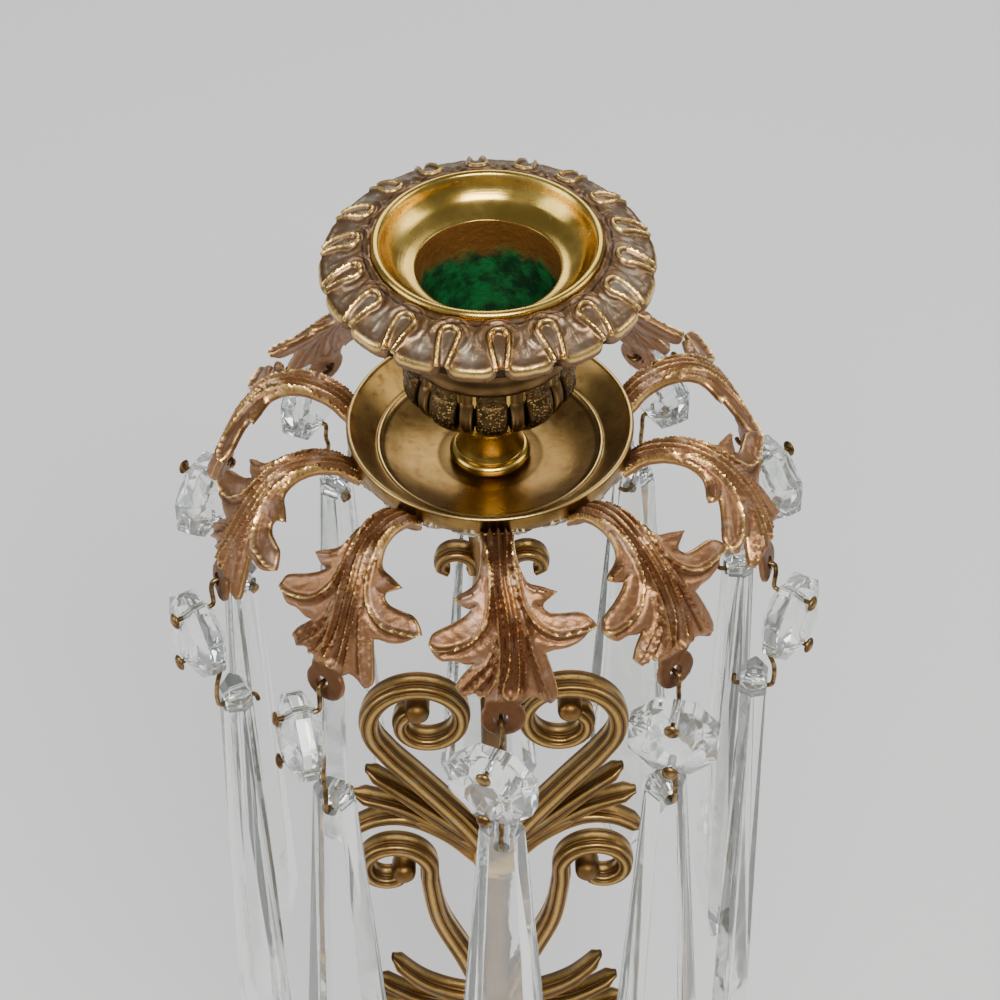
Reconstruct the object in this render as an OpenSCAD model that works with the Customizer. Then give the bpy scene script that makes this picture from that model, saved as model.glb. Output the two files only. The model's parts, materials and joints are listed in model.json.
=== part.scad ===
// Girandole candlestick: one light on an openwork brass stem and a stepped marble base.
// A drip pan under the candle socket carries ten cast acanthus leaves, and a glass button
// and a long cut prism hang on wire pins from each leaf.
// Millimetres. +Z is up, -Y is the front, and the origin is the centre of the underside.

/* [Overall] */
// Height of the candle socket's lip above the table
total_h = 330; // [290:2:400]

/* [Marble base] */
// Width of the lower marble step
base_w = 130; // [110:1:156]
// Depth of the lower marble step
base_d = 114; // [112:1:137]
// Height of the lower marble step
base_h = 20; // [14:1:28]
// Width of the upper marble step
step_w = 98; // [80:1:106]
// Depth of the upper marble step
step_d = 82; // [60:1:98]
// Height of the upper marble step
step_h = 14; // [8:1:20]
// Bevel along the upper edges of the marble
marble_bevel = 2; // [0.5:0.5:4]

/* [Stem casting] */
// Height of the cast foot that the scrolls stand on
foot_h = 12; // [8:1:18]
// Width of the cast foot
foot_w = 66; // [56:1:70]
// Depth of the cast foot
foot_d = 32; // [24:1:46]
// Width across the widest scrolls
scroll_span = 54; // [44:1:60]
// Thickness of the scrolls, front to back
scroll_t = 7; // [4:0.5:9]
// Width of a scroll's band at its root
band_w = 3.8; // [2.6:0.2:4.4]
// Radius of the turned boss under the drip pan
boss_r = 8; // [6:0.5:10]
// Height of the turned boss
boss_h = 8; // [5:0.5:12]

/* [Drip pan] */
// Radius of the pan's rim
pan_r = 22.6; // [19:0.2:28]
// Radius of the ring line where the rim turns up
pan_ring_r = 17.5; // [13:0.5:18]
// Depth of the pan from rim to floor
pan_depth = 7; // [5:0.5:10]
// Wall of the pan
pan_wall = 1.4; // [1:0.1:2]

/* [Candle socket] */
// Radius of the candle bore
bore_r = 11; // [9:0.25:13.25]
// Depth of the candle bore below the funnel
bore_depth = 20; // [16:0.5:25]
// Wall of the nozzle's tube
nozzle_wall = 1.2; // [0.8:0.1:1.6]
// Radius of the polished lip
lip_r = 17.5; // [16.5:0.25:21]
// Depth of the polished funnel inside the lip
funnel_depth = 5; // [4:0.5:7]
// Radius over the collar's scallops
collar_r = 25.5; // [23:0.25:30]
// Height of the collar
collar_h = 9.4; // [8:0.2:12]
// Number of scallops round the collar
collar_scallops = 18; // [14:1:22]
// How far the cup's wide lobes stand out from its wall
lobe_rise = 1.7; // [1.2:0.1:2.4]
// Number of wide lobes round the cup
cup_lobes = 10; // [8:1:12]
// Solid depth of the cup below the nozzle
cup_base = 3.5; // [3:0.5:6]
// Height of the waisted foot between cup and pan
waist_h = 11.6; // [9:0.2:15]
// Radius of the bead at the waisted foot's base
waist_bead_r = 6.7; // [6:0.1:8]

/* [Leaf ring] */
// Radius of the circle through the holes in the leaf tabs
hole_circle_r = 45.3; // [38:0.1:54]
// Drop from the pan's rim to the tab holes
leaf_drop = 19.4; // [16:0.2:24]
// Thickness of a leaf
leaf_t = 1.4; // [1.1:0.1:1.8]
// Radius of the round tab at a leaf's tip
tab_r = 3.3; // [2.8:0.1:4]
// Radius of the hole in the tab
tab_hole_r = 1.2; // [1.1:0.05:1.5]

/* [Lustres] */
// Radius of the pin wire
wire_r = 0.4; // [0.3:0.05:0.5]
// Radius of a pin's domed head
head_r = 1.3; // [1:0.1:1.6]
// Width of the eight-sided glass button across flats
button_w = 14; // [12:0.5:16]
// Thickness of the glass button
button_t = 6.6; // [5.5:0.1:8]
// Distance between the button's two holes
button_pitch = 9.5; // [8:0.1:10.5]
// Radius of the button's holes
button_hole_r = 0.7; // [0.6:0.05:0.9]
// Length of a prism
prism_l = 105; // [84:1:126]
// Width of a prism at its widest
prism_w = 19; // [15:0.5:20]
// Thickness of a prism at its widest
prism_t = 6.4; // [5.5:0.1:8]
// Radius of the hole in a prism
prism_hole_r = 1.3; // [1.2:0.05:1.5]
// Drop from a button's lower hole to the prism's hole
link_drop = 13.5; // [12:0.5:18]

/* [Fastenings] */
// Radius of the central screw that holds the socket and pan
screw_r = 2.5; // [2:0.25:3]
// Radius of the tie rod through the marble
rod_r = 3; // [2.5:0.25:4]
// Depth of the recess for nut and washer under the base
recess_depth = 10; // [8:0.5:12]

/* [Hidden] */
LEAVES = 10;
function label(stem, i) = str(stem, i < 10 ? "_0" : "_", i);
$fn = 64;

// Clearances
seat_gap = 0.1;      // round a piece that slips into another
hole_gap = 0.3;      // round a screw or rod in its hole
wire_gap = 0.45;     // between a wire and the face it hangs on
tip_gap = 0.2;       // between the tips of neighbouring leaves

// Heights of the levels above the table
marble_top = base_h + step_h;
casting_z = marble_top + foot_h;
bore_mouth_z = total_h - funnel_depth;
bore_floor_z = bore_mouth_z - bore_depth;
nozzle_floor_t = 3;
nozzle_z = bore_floor_z - nozzle_floor_t;
lip_t = 1.6;
collar_z = total_h - lip_t - collar_h;
cup_z = nozzle_z - cup_base;
pan_floor_z = cup_z - waist_h;
pan_rim_z = pan_floor_z + pan_depth;
boss_z = pan_floor_z - pan_wall - boss_h;
casting_h = boss_z - casting_z;
tab_hole_z = pan_rim_z - leaf_drop;

// Radii that nest
nozzle_r = bore_r + nozzle_wall;
cup_bore_r = nozzle_r + seat_gap;
cup_wall = 0.9;
cup_r = cup_bore_r + cup_wall;
screw_head_r = 4;
screw_head_h = 2;
screw_seat_z = bore_floor_z - screw_head_h;
screw_grip = 10;     // length of screw inside the casting
rod_grip = 14;       // length of rod inside the casting
washer_r = 9;
washer_t = 1.5;
nut_h = 5;
nut_r = 6.5;
recess_r = washer_r + 3;

// The chain of a lustre, as distances outward from the tab hole and down from it
tab_front = leaf_t / 2 + wire_gap + wire_r;                 // wire in front of the tab
table_r = 3.2;                                              // flat table of the button
girdle_t = 2.4;                                             // button's thickness at its edge
crown_t = (button_t - girdle_t) / 2;
crown_run = button_w / 2 - table_r;
hole_half_t = girdle_t / 2 + crown_t * (button_w / 2 - button_pitch / 2) / crown_run;
button_back = hole_half_t + wire_gap + wire_r;              // wire behind the button's middle
button_drop = 10;                                           // tab hole to button's middle
prism_in = 0.6;                                             // prism hangs this far inside the hole
prism_hole_down = 4;                                        // prism's hole below its top
prism_top_t = 4.4;                                          // thickness at the prism's hole
prism_face = prism_top_t / 2 + wire_gap + wire_r;
prism_drop = button_drop + button_pitch / 2 + link_drop;    // tab hole to prism hole
pin_end = 1.7;                                              // bent end behind a hole
// How each button has turned on its wire, and each prism, seen from above
button_turn = [-26, -50, -16, 14, -20, 10, 24, -12, 12, -40];
prism_turn = [-6, -14, 8, -8, 10, -4, 9, -10, 6, 12];
ring_start = 1.4;
function azimuth(i) = ring_start + (i - 1) * 360 / LEAVES;

// Curves
function blend(a, b, c, d, t) = 0.5 * (2 * b + (c - a) * t + (2 * a - 5 * b + 4 * c - d) * t * t
    + (3 * b - a - 3 * c + d) * t * t * t);
function smooth(p, n) = let (last = len(p) - 1)
    [for (i = [0:last - 1]) for (j = [0:n - 1])
        blend(p[max(i - 1, 0)], p[i], p[i + 1], p[min(i + 2, last)], j / n), p[last]];
function volute(centre, r0, r1, a0, a1, n) =
    [for (k = [0:n]) let (a = a0 + (a1 - a0) * k / n, r = r0 + (r1 - r0) * k / n)
        centre + r * [cos(a), sin(a)]];

module marble_slab(w, d, h) {
    b = marble_bevel;
    intersection() {
        rotate([90, 0, 0]) linear_extrude(d, center = true)
            polygon([[-w / 2, 0], [w / 2, 0], [w / 2, h - b], [w / 2 - b, h], [b - w / 2, h], [-w / 2, h - b]]);
        rotate([90, 0, 90]) linear_extrude(w, center = true)
            polygon([[-d / 2, 0], [d / 2, 0], [d / 2, h - b], [d / 2 - b, h], [b - d / 2, h], [-d / 2, h - b]]);
    }
}

module rod_hole(z0, z1) {
    translate([0, 0, z0 - 1]) cylinder(h = z1 - z0 + 2, r = rod_r + hole_gap);
}

module marble_lower_step() color("whitesmoke") difference() {
    marble_slab(base_w, base_d, base_h);
    rod_hole(0, base_h);
    translate([0, 0, -1]) cylinder(h = recess_depth + 1, r = recess_r);
}

module marble_upper_step() color("white") difference() {
    translate([0, 0, base_h]) marble_slab(step_w, step_d, step_h);
    rod_hole(base_h, marble_top);
}

// Two plain steps that carry the scrolls
module cast_foot() color("darkgoldenrod") difference() {
    lower_h = 0.42 * foot_h;
    ledge = 5;
    translate([0, 0, marble_top]) {
        translate([-foot_w / 2, -foot_d / 2, 0]) cube([foot_w, foot_d, lower_h]);
        translate([ledge - foot_w / 2, ledge - foot_d / 2, 0])
            cube([foot_w - 2 * ledge, foot_d - 2 * ledge, foot_h]);
    }
    rod_hole(marble_top, casting_z);
}

module tie_rod() color("dimgray")
    translate([0, 0, recess_depth - washer_t - nut_h - 1])
        cylinder(h = casting_z + rod_grip - recess_depth + washer_t + nut_h + 1, r = rod_r);

module base_washer() color("silver") translate([0, 0, recess_depth - washer_t]) difference() {
    cylinder(h = washer_t, r = washer_r);
    translate([0, 0, -1]) cylinder(h = washer_t + 2, r = rod_r + hole_gap);
}

module base_nut() color("gray") translate([0, 0, recess_depth - washer_t - nut_h]) difference() {
    cylinder(h = nut_h, r = nut_r, $fn = 6);
    translate([0, 0, -1]) cylinder(h = nut_h + 2, r = rod_r);
}

// The scrolls are drawn for one side on a design grid, and the grid is stretched to fit
GRID_SPAN = 54;
GRID_H = 232;
function to_size(p) = [for (q = p) [q[0] * scroll_span / GRID_SPAN, q[1] * casting_h / GRID_H]];

HEART = concat(smooth([[1.5, 145], [6, 153], [12.5, 162.5], [18, 170]], 3),
    volute([12.2, 179.5], 9.9, 2.8, -35, 430, 22));
LOW_CURL = concat(smooth([[2, 102], [6, 114], [10.5, 126], [12, 137]], 3),
    volute([18.9, 140], 7, 2.4, 175, -160, 16));
MID_CURL = concat(smooth([[1.5, 62], [6, 67], [12, 73], [17, 79]], 3),
    volute([10.6, 85.5], 8.6, 2.6, -25, 330, 16));
FOOT_CURL = concat(smooth([[1.5, 58], [7, 48], [15, 38], [21.5, 27], [24.5, 16]], 3),
    volute([15.8, 10], 9.6, 2.8, 20, -330, 18));
SIDE_CURL = volute([6.2, 217], 3.6, 1.8, 200, -60, 10);
FINGERS = [
    [[2, 145], [9, 152.5], [16, 160], [22.5, 166.5]],
    [[2, 143.5], [10, 151], [17, 156.5], [25, 160]],
    [[2, 142], [8, 149], [15, 153.5], [21, 153.5], [26.5, 150]],
    [[2, 102], [7, 102], [14, 106], [19.5, 113]],
    [[2, 100], [8, 99], [15, 101], [22.5, 107]],
    [[2, 98], [8, 95.5], [15, 96], [24, 100.5]],
    [[2, 60], [7, 56], [12, 56], [16, 61]],
    [[2, 40], [5, 33], [7.5, 24], [7, 15]]];
// Height and radius of the central stalk's knops and waists
STALK = [[0, 6], [5, 4.4], [16, 3.2], [54, 2.9], [60, 4.6], [66, 2.9], [94, 2.7], [101, 4.4], [108, 2.7],
    [136, 2.9], [144, 4.8], [153, 2.5], [198, 2.4], [208, 3.4], [216, 3.2], [232, 4.6]];

// A band that follows a path and changes width from w0 to w1
module band(path, w0, w1) {
    n = len(path) - 1;
    side = [for (k = [0:n]) let (d = path[min(k + 1, n)] - path[max(k - 1, 0)],
        w = (w0 + (w1 - w0) * k / n) / 2) w * [-d[1], d[0]] / norm(d)];
    polygon(concat([for (k = [0:n]) path[k] + side[k]], [for (k = [n:-1:0]) path[k] - side[k]]));
}

module curl(path) {
    p = to_size(path);
    band(p, band_w, 0.6 * band_w);
    translate(p[len(p) - 1]) circle(r = 0.55 * band_w, $fn = 24);
}

module half_scrolls() {
    curl(HEART);
    curl(LOW_CURL);
    curl(MID_CURL);
    curl(FOOT_CURL);
    band(to_size(SIDE_CURL), 0.7 * band_w, 0.5 * band_w);
    for (f = FINGERS) band(to_size(smooth(f, 3)), 1.1 * band_w, 0.45 * band_w);
}

module scroll_stem() color("peru") difference() {
    translate([0, 0, casting_z]) union() {
        rotate([90, 0, 0]) linear_extrude(scroll_t, center = true) intersection() {
            union() {
                half_scrolls();
                mirror([1, 0]) half_scrolls();
            }
            translate([-scroll_span, 0]) square([2 * scroll_span, casting_h]);
        }
        rotate_extrude() polygon(concat([[0, 0]],
            [for (s = STALK) [s[1], s[0] * casting_h / GRID_H]], [[0, casting_h]]));
    }
    translate([0, 0, boss_z - screw_grip]) cylinder(h = screw_grip + 1, r = screw_r);
    translate([0, 0, casting_z - 1]) cylinder(h = rod_grip + 1, r = rod_r);
}

module pan_boss() color("goldenrod") translate([0, 0, boss_z]) rotate_extrude() polygon([
    [screw_r + hole_gap, 0], [0.62 * boss_r, 0], [0.62 * boss_r, 0.2 * boss_h], [0.82 * boss_r, 0.35 * boss_h],
    [0.66 * boss_r, 0.55 * boss_h], [boss_r, 0.8 * boss_h], [boss_r, boss_h], [screw_r + hole_gap, boss_h]]);

// Dished floor, a raised ring line and a rim that turns up at a slant
module drip_pan() color("darkgoldenrod") translate([0, 0, pan_floor_z]) {
    ring_z = 0.36 * pan_depth;
    bead = 0.7;
    dish = [for (k = [0:6]) let (f = k / 6)
        [waist_bead_r + 1 + f * (pan_ring_r - bead - waist_bead_r - 1), ring_z * f * f]];
    rotate_extrude() polygon(concat([[screw_r + hole_gap, 0]], dish,
        [[pan_ring_r, ring_z + bead], [pan_ring_r + bead, ring_z + bead],
         [pan_r - 0.6, pan_depth], [pan_r, pan_depth - 0.4],
         [pan_r, pan_depth - 1.6], [pan_ring_r + 0.6, ring_z - pan_wall],
         [waist_bead_r + 2, -pan_wall], [screw_r + hole_gap, -pan_wall]]));
}

// Waist and bead between the pan and the cup
module socket_foot() color("gold") translate([0, 0, pan_floor_z]) {
    throat_r = screw_r + hole_gap;
    rotate_extrude() polygon([[throat_r, 0], [waist_bead_r - 0.5, 0], [waist_bead_r, 0.8], [waist_bead_r, 1.4],
        [waist_bead_r - 0.6, 2.2], [0.86 * waist_bead_r, 2.4], [0.76 * waist_bead_r, 4.2],
        [0.76 * waist_bead_r, 7], [0.9 * waist_bead_r, 9.4], [1.12 * waist_bead_r, waist_h], [throat_r, waist_h]]);
}

// A plan of wide lobes and narrow ribs, rounded off top and bottom by a bulbous outline
module gadrooned_cup() color("saddlebrown") difference() {
    lobe_r = 0.26 * cup_r;
    rib_r = 0.09 * cup_r;
    belly_r = cup_r + lobe_rise;
    lobes_top = nozzle_z + 7.5;
    belly_z = (cup_z + lobes_top) / 2;
    intersection() {
        translate([0, 0, cup_z]) linear_extrude(collar_z - cup_z) union() {
            circle(r = cup_r);
            for (i = [0:cup_lobes - 1]) rotate(i * 360 / cup_lobes) {
                translate([0, lobe_r - belly_r]) circle(r = lobe_r);
                rotate(180 / cup_lobes) translate([0, -cup_r]) circle(r = rib_r);
            }
        }
        rotate_extrude() polygon([[0, cup_z], [1.1 * waist_bead_r, cup_z], [0.8 * belly_r, cup_z + 0.43 * cup_base],
            [0.96 * belly_r, cup_z + 1.07 * cup_base], [belly_r + 0.1, belly_z], [0.97 * belly_r, belly_z + 3],
            [cup_r, lobes_top], [cup_r, collar_z], [0, collar_z]]);
    }
    translate([0, 0, nozzle_z]) cylinder(h = collar_z - nozzle_z + 1, r = cup_bore_r);
    translate([0, 0, cup_z - 1]) cylinder(h = cup_base + 2, r = screw_r + hole_gap);
}

// Flared collar, cut to scallops by a ring of round lobes
module scalloped_collar() color("sienna") {
    scallop_r = 1.1 * PI * (collar_r - 4) / collar_scallops;
    edge_z = total_h - lip_t - 0.36 * collar_h;
    intersection() {
        rotate_extrude() polygon([[cup_bore_r, collar_z], [cup_r, collar_z], [0.78 * collar_r, collar_z + 0.08 * collar_h],
            [0.94 * collar_r, edge_z - 2.2], [collar_r, edge_z - 0.8], [collar_r, edge_z],
            [lip_r + 0.4, total_h - lip_t + 0.6], [lip_r + 0.4, total_h - lip_t], [cup_bore_r, total_h - lip_t]]);
        union() {
            translate([0, 0, collar_z]) cylinder(h = collar_h + 2, r = collar_r - 1.6);
            for (i = [0:collar_scallops - 1]) rotate((i + 0.5) * 360 / collar_scallops)
                translate([0, scallop_r - collar_r, collar_z]) cylinder(h = collar_h + 2, r = scallop_r);
        }
    }
}

// Lip, polished funnel and tube, with a well in its floor for the screw's head
module candle_nozzle() color("gold") {
    funnel = [for (k = [0:8]) let (a = 90 * k / 8)
        [bore_r + (lip_r - 1.2 - bore_r) * (1 - sin(a)), bore_mouth_z + funnel_depth * (1 - pow(1 - cos(a), 0.8))]];
    well_r = screw_head_r + hole_gap;
    rotate_extrude() polygon(concat(
        [[screw_r + hole_gap, nozzle_z], [nozzle_r, nozzle_z], [nozzle_r, total_h - lip_t],
         [lip_r - 0.3, total_h - lip_t], [lip_r, total_h - lip_t + 0.5], [lip_r, total_h - 0.4], [lip_r - 0.4, total_h]],
        funnel, [[bore_r, bore_floor_z], [well_r, bore_floor_z], [well_r, screw_seat_z],
         [screw_r + hole_gap, screw_seat_z]]));
}

module centre_screw() color("slategray") difference() {
    union() {
        translate([0, 0, boss_z - screw_grip]) cylinder(h = screw_seat_z - boss_z + screw_grip, r = screw_r);
        translate([0, 0, screw_seat_z]) cylinder(h = screw_head_h - 0.1, r = screw_head_r);
    }
    translate([-screw_head_r, -0.5, screw_seat_z + 0.5 * screw_head_h]) cube([2 * screw_head_r, 1, screw_head_h]);
}

// Centreline of a leaf as shares of its reach and of its drop, from under the pan to the tab
LEAF_LINE = [[-0.14, -0.33], [0.01, -0.18], [0.17, -0.06], [0.37, 0.01], [0.57, -0.09], [0.745, -0.29],
    [0.89, -0.57], [0.965, -0.81], [1, -1]];
// Stations down the leaf: place along the centreline, left and right edge as shares of the
// distance to the neighbouring leaf's border
LEAF_EDGES = [[0, 0.38, 0.38], [1, 0.36, 0.36], [2, 0.29, 0.3], [3, 0.27, 0.29], [3.6, 0.33, 0.45],
    [3.85, 0.46, 0.76], [4.05, 0.6, 0.64], [4.4, 0.36, 1.02], [4.62, 0.53, 1.18], [4.85, 0.69, 1.0],
    [5.15, 0.82, 0.74], [5.4, 0.78, 0.62], [5.65, 0.6, 0.52], [5.95, 0.38, 0.55], [6.4, 0.46, 0.57],
    [6.8, 0.3, 0.56], [7.05, 0.24, 0.36], [7.5, 0.15, 0.17]];
leaf_reach = hole_circle_r - pan_r;
function leaf_point(s) = let (i = min(floor(s), 7), p = LEAF_LINE,
    q = blend(p[max(i - 1, 0)], p[i], p[i + 1], p[min(i + 2, 8)], s - i))
    [pan_r + q[0] * leaf_reach, pan_rim_z + q[1] * leaf_drop];
function leaf_normal(s) = let (d = leaf_point(min(s + 0.1, 8)) - leaf_point(max(s - 0.1, 0)))
    [-d[1], d[0]] / norm(d);
// Cross-section at one station: five points over the ridged top and five back underneath.
// The blade thins towards the tab, so that its end lies inside the tab.
function leaf_ring(e) = let (c = leaf_point(e[0]), n = leaf_normal(e[0]), m = tan(180 / LEAVES) * c[0] - tip_gap,
    t = leaf_t * (e[0] > 7 ? 0.3 : 0.5), ridge = 0.5 * leaf_t)
    [for (k = [[-e[1], t], [-0.5 * e[1], t + 0.4 * ridge], [0.04, t + ridge], [0.5 * e[2], t + 0.4 * ridge], [e[2], t],
               [e[2], -t], [0.5 * e[2], 0.3 * ridge - t], [0.04, 0.5 * ridge - t], [-0.5 * e[1], 0.3 * ridge - t],
               [-e[1], -t]]) let (q = c + n * k[1]) [k[0] * m, -q[0], q[1]]];

module leaf_blade() {
    rings = [for (e = LEAF_EDGES) leaf_ring(e)];
    n = len(rings[0]);
    last = len(rings) - 1;
    polyhedron([for (r = rings) each r], concat(
        [[for (k = [n - 1:-1:0]) k], [for (k = [0:n - 1]) last * n + k]],
        [for (j = [0:last - 1]) for (k = [0:n - 1]) let (a = j * n + k, b = j * n + (k + 1) % n) each
            [[a, b, b + n], [a, b + n, a + n]]]));
}

module acanthus_leaf(i) color("rosybrown") rotate(azimuth(i)) difference() {
    union() {
        leaf_blade();
        translate([0, -hole_circle_r, tab_hole_z]) rotate([90, 0, 0]) cylinder(h = leaf_t, r = tab_r, center = true);
    }
    translate([0, -hole_circle_r, tab_hole_z]) rotate([90, 0, 0])
        cylinder(h = 4 * leaf_t, r = tab_hole_r, center = true);
}

// A lustre's parts are drawn at the tab hole: -Y is outward and -Z is down
module at_tab(i) rotate(azimuth(i)) translate([0, -hole_circle_r, tab_hole_z]) children();
// The button and all on its side of the wire turn about the wire's upright part
module turned_button(i) translate([0, -tab_front, 0]) rotate(button_turn[i - 1]) children();
module turned_prism(i) translate([0, prism_in, -prism_drop]) rotate(prism_turn[i - 1]) children();

module wire(a, b) {
    d = b - a;
    tilt = acos(d[2] / norm(d));
    spin = atan2(d[1], d[0]);
    translate(a) rotate([0, tilt, spin]) cylinder(h = norm(d), r = wire_r, $fn = 24);
    translate(b) sphere(r = 1.12 * wire_r, $fn = 24);
}

module pin_shank(z) {
    front = hole_half_t + crown_t * head_r / crown_run + 0.2;
    translate([0, -button_back, z]) rotate([90, 0, 0]) {
        translate([0, 0, -button_back]) cylinder(h = button_back + front, r = wire_r, $fn = 24);
        translate([0, 0, front - 0.1]) cylinder(h = 0.6, r = head_r, $fn = 32);
        translate([0, 0, front + 0.3]) sphere(r = 0.6 * head_r, $fn = 32);
    }
}

module wire_pins(i) color("saddlebrown") at_tab(i) {
    upper_z = button_pitch / 2 - button_drop;
    lower_z = -button_pitch / 2 - button_drop;
    swing = prism_turn[i - 1];
    entry = [0, prism_in, -prism_drop] + prism_face * [sin(swing), -cos(swing), 0];
    exit = [0, prism_in, -prism_drop] - prism_face * [sin(swing), -cos(swing), 0];
    back = leaf_t / 2 + wire_gap + wire_r;
    wire([pin_end, back, 0], [0, back, 0]);
    wire([0, back, 0], [0, -tab_front, 0]);
    wire([0, -tab_front, 0], [0, -tab_front, upper_z]);
    turned_button(i) pin_shank(upper_z);
    turned_button(i) pin_shank(lower_z);
    wire([0, -tab_front, lower_z - 4], [0, -tab_front, lower_z]);
    wire(entry + [0, 0, prism_hole_down + 0.8], [0, -tab_front, lower_z - 4]);
    wire(entry, entry + [0, 0, prism_hole_down + 0.8]);
    wire(exit, entry);
    wire(exit + pin_end * [cos(swing), sin(swing), 0], exit);
}

// Eight-sided button: table, sloped crown and girdle, the same front and back
module glass_button(i) color("lightcyan") at_tab(i) turned_button(i)
    translate([0, -button_back, -button_drop]) rotate([90, 0, 0]) difference() {
        edge_r = button_w / 2 / cos(22.5);
        face_r = table_r / cos(22.5);
        rotate(22.5) union() {
            cylinder(h = girdle_t, r = edge_r, center = true, $fn = 8);
            translate([0, 0, girdle_t / 2]) cylinder(h = crown_t, r1 = edge_r, r2 = face_r, $fn = 8);
            mirror([0, 0, 1]) translate([0, 0, girdle_t / 2]) cylinder(h = crown_t, r1 = edge_r, r2 = face_r, $fn = 8);
        }
        for (y = [-button_pitch / 2, button_pitch / 2]) translate([0, y, 0])
            cylinder(h = 2 * button_t, r = button_hole_r, center = true, $fn = 32);
    }

// Long spear: six-sided section that widens to the shoulder and closes to a point
module glass_prism(i) color("azure") at_tab(i) turned_prism(i) {
    shoulder = 0.84 * prism_l;
    top_w = 0.38 * prism_w;
    // Distance down, width, thickness
    cuts = [[0, 0.8 * top_w, 0.5 * prism_top_t], [2, top_w, prism_top_t], [shoulder, prism_w, prism_t],
        [0.9 * prism_l, 0.76 * prism_w, 0.8 * prism_t], [prism_l, 0.08 * prism_w, 0.2 * prism_t]];
    n = 6;
    last = len(cuts) - 1;
    rings = [for (c = cuts) let (w = c[1] / 2, t = c[2] / 2, f = 0.5 * w, z = prism_hole_down - c[0])
        [[-w, 0, z], [-f, -t, z], [f, -t, z], [w, 0, z], [f, t, z], [-f, t, z]]];
    difference() {
        polyhedron([for (r = rings) each r], concat(
            [[for (k = [n - 1:-1:0]) k], [for (k = [0:n - 1]) last * n + k]],
            [for (j = [0:last - 1]) for (k = [0:n - 1]) let (a = j * n + k, b = j * n + (k + 1) % n) each
                [[a, b, b + n], [a, b + n, a + n]]]));
        rotate([90, 0, 0]) cylinder(h = 3 * prism_t, r = prism_hole_r, center = true, $fn = 32);
    }
}

marble_lower_step();
marble_upper_step();
cast_foot();
tie_rod();
base_washer();
base_nut();
scroll_stem();
pan_boss();
drip_pan();
socket_foot();
gadrooned_cup();
scalloped_collar();
candle_nozzle();
centre_screw();
for (i = [1:LEAVES]) {
    acanthus_leaf(i);
    wire_pins(i);
    glass_button(i);
    glass_prism(i);
}
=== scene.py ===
"""Looks of a girandole candlestick: brass socket and drip pan, cast leaves, cut glass lustres, marble base.

Shapes are worked out in millimetres around the CAD frame and turned into metres by piece().
"""

import json
import math

import bmesh
import bpy
import numpy as np
from mathutils import Matrix, Vector
from mathutils.geometry import delaunay_2d_cdt


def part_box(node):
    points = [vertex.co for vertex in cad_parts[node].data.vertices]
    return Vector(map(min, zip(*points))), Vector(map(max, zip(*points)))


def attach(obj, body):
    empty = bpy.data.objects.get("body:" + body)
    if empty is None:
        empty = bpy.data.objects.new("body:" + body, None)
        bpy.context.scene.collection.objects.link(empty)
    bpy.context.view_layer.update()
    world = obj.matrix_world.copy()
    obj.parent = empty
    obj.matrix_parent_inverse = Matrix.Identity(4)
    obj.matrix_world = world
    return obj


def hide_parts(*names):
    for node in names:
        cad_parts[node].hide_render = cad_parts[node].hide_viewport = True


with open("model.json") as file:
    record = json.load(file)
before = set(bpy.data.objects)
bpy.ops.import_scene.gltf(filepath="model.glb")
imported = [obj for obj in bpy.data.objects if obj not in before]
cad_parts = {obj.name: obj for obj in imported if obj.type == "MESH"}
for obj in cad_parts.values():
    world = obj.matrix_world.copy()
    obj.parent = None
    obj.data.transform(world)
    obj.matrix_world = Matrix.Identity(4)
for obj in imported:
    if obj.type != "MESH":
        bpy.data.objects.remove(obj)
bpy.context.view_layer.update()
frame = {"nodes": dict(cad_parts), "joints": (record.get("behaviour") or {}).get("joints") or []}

MM = 0.001
TAU = 2 * math.pi
LEAVES = 10
rng = np.random.default_rng(7)


# ---------------------------------------------------------------- sizes from the frame
def extent(node):
    """Lowest and highest corner of a CAD node in millimetres."""
    low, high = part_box(node)
    return np.array(low) / MM, np.array(high) / MM


LIP_Z = extent("candle_nozzle")[1][2]
COLLAR_Z = extent("scalloped_collar")[0][2]
CUP_Z = extent("gadrooned_cup")[0][2]
PAN_RIM_Z = extent("drip_pan")[1][2]
PAN_FLOOR_Z = extent("socket_foot")[0][2]
BOSS_Z = extent("pan_boss")[0][2]
BOSS_TOP = extent("pan_boss")[1][2]
CASTING_Z = extent("scroll_stem")[0][2]
STEM_TOP = extent("scroll_stem")[1][2]
MARBLE_TOP = extent("marble_upper_step")[1][2]
STEP_Z = extent("marble_upper_step")[0][2]
PAN_R = extent("drip_pan")[1][0]
LIP_R = extent("candle_nozzle")[1][0]
JOINTS = {j["name"]: j for j in frame["joints"]}
HOLE = np.array(JOINTS["button_swing_01"]["pos_m"]) / MM
HOLE_R = math.hypot(HOLE[0], HOLE[1])
HOLE_Z = HOLE[2]
RING_START = math.atan2(HOLE[0], -HOLE[1])
BORE_R = 11.0
BORE_DEPTH = 20.0
FUNNEL_DEPTH = 5.0


def azimuth(i):
    """Direction of leaf i (from 1), measured from the front towards +X."""
    return RING_START + (i - 1) * TAU / LEAVES


def polar(r, a, z):
    return (r * math.sin(a), -r * math.cos(a), z)


# ---------------------------------------------------------------- curves
def smooth(points, n):
    """A curve through the points, with n steps between neighbours."""
    p = np.array(points, float)
    last = len(p) - 1
    t = np.arange(n)[:, None] / n
    out = []
    for i in range(last):
        a, b, c, d = p[max(i - 1, 0)], p[i], p[i + 1], p[min(i + 2, last)]
        out.append(0.5 * (2 * b + (c - a) * t + (2 * a - 5 * b + 4 * c - d) * t ** 2
                          + (3 * b - a - 3 * c + d) * t ** 3))
    return np.vstack(out + [p[-1:]])


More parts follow.
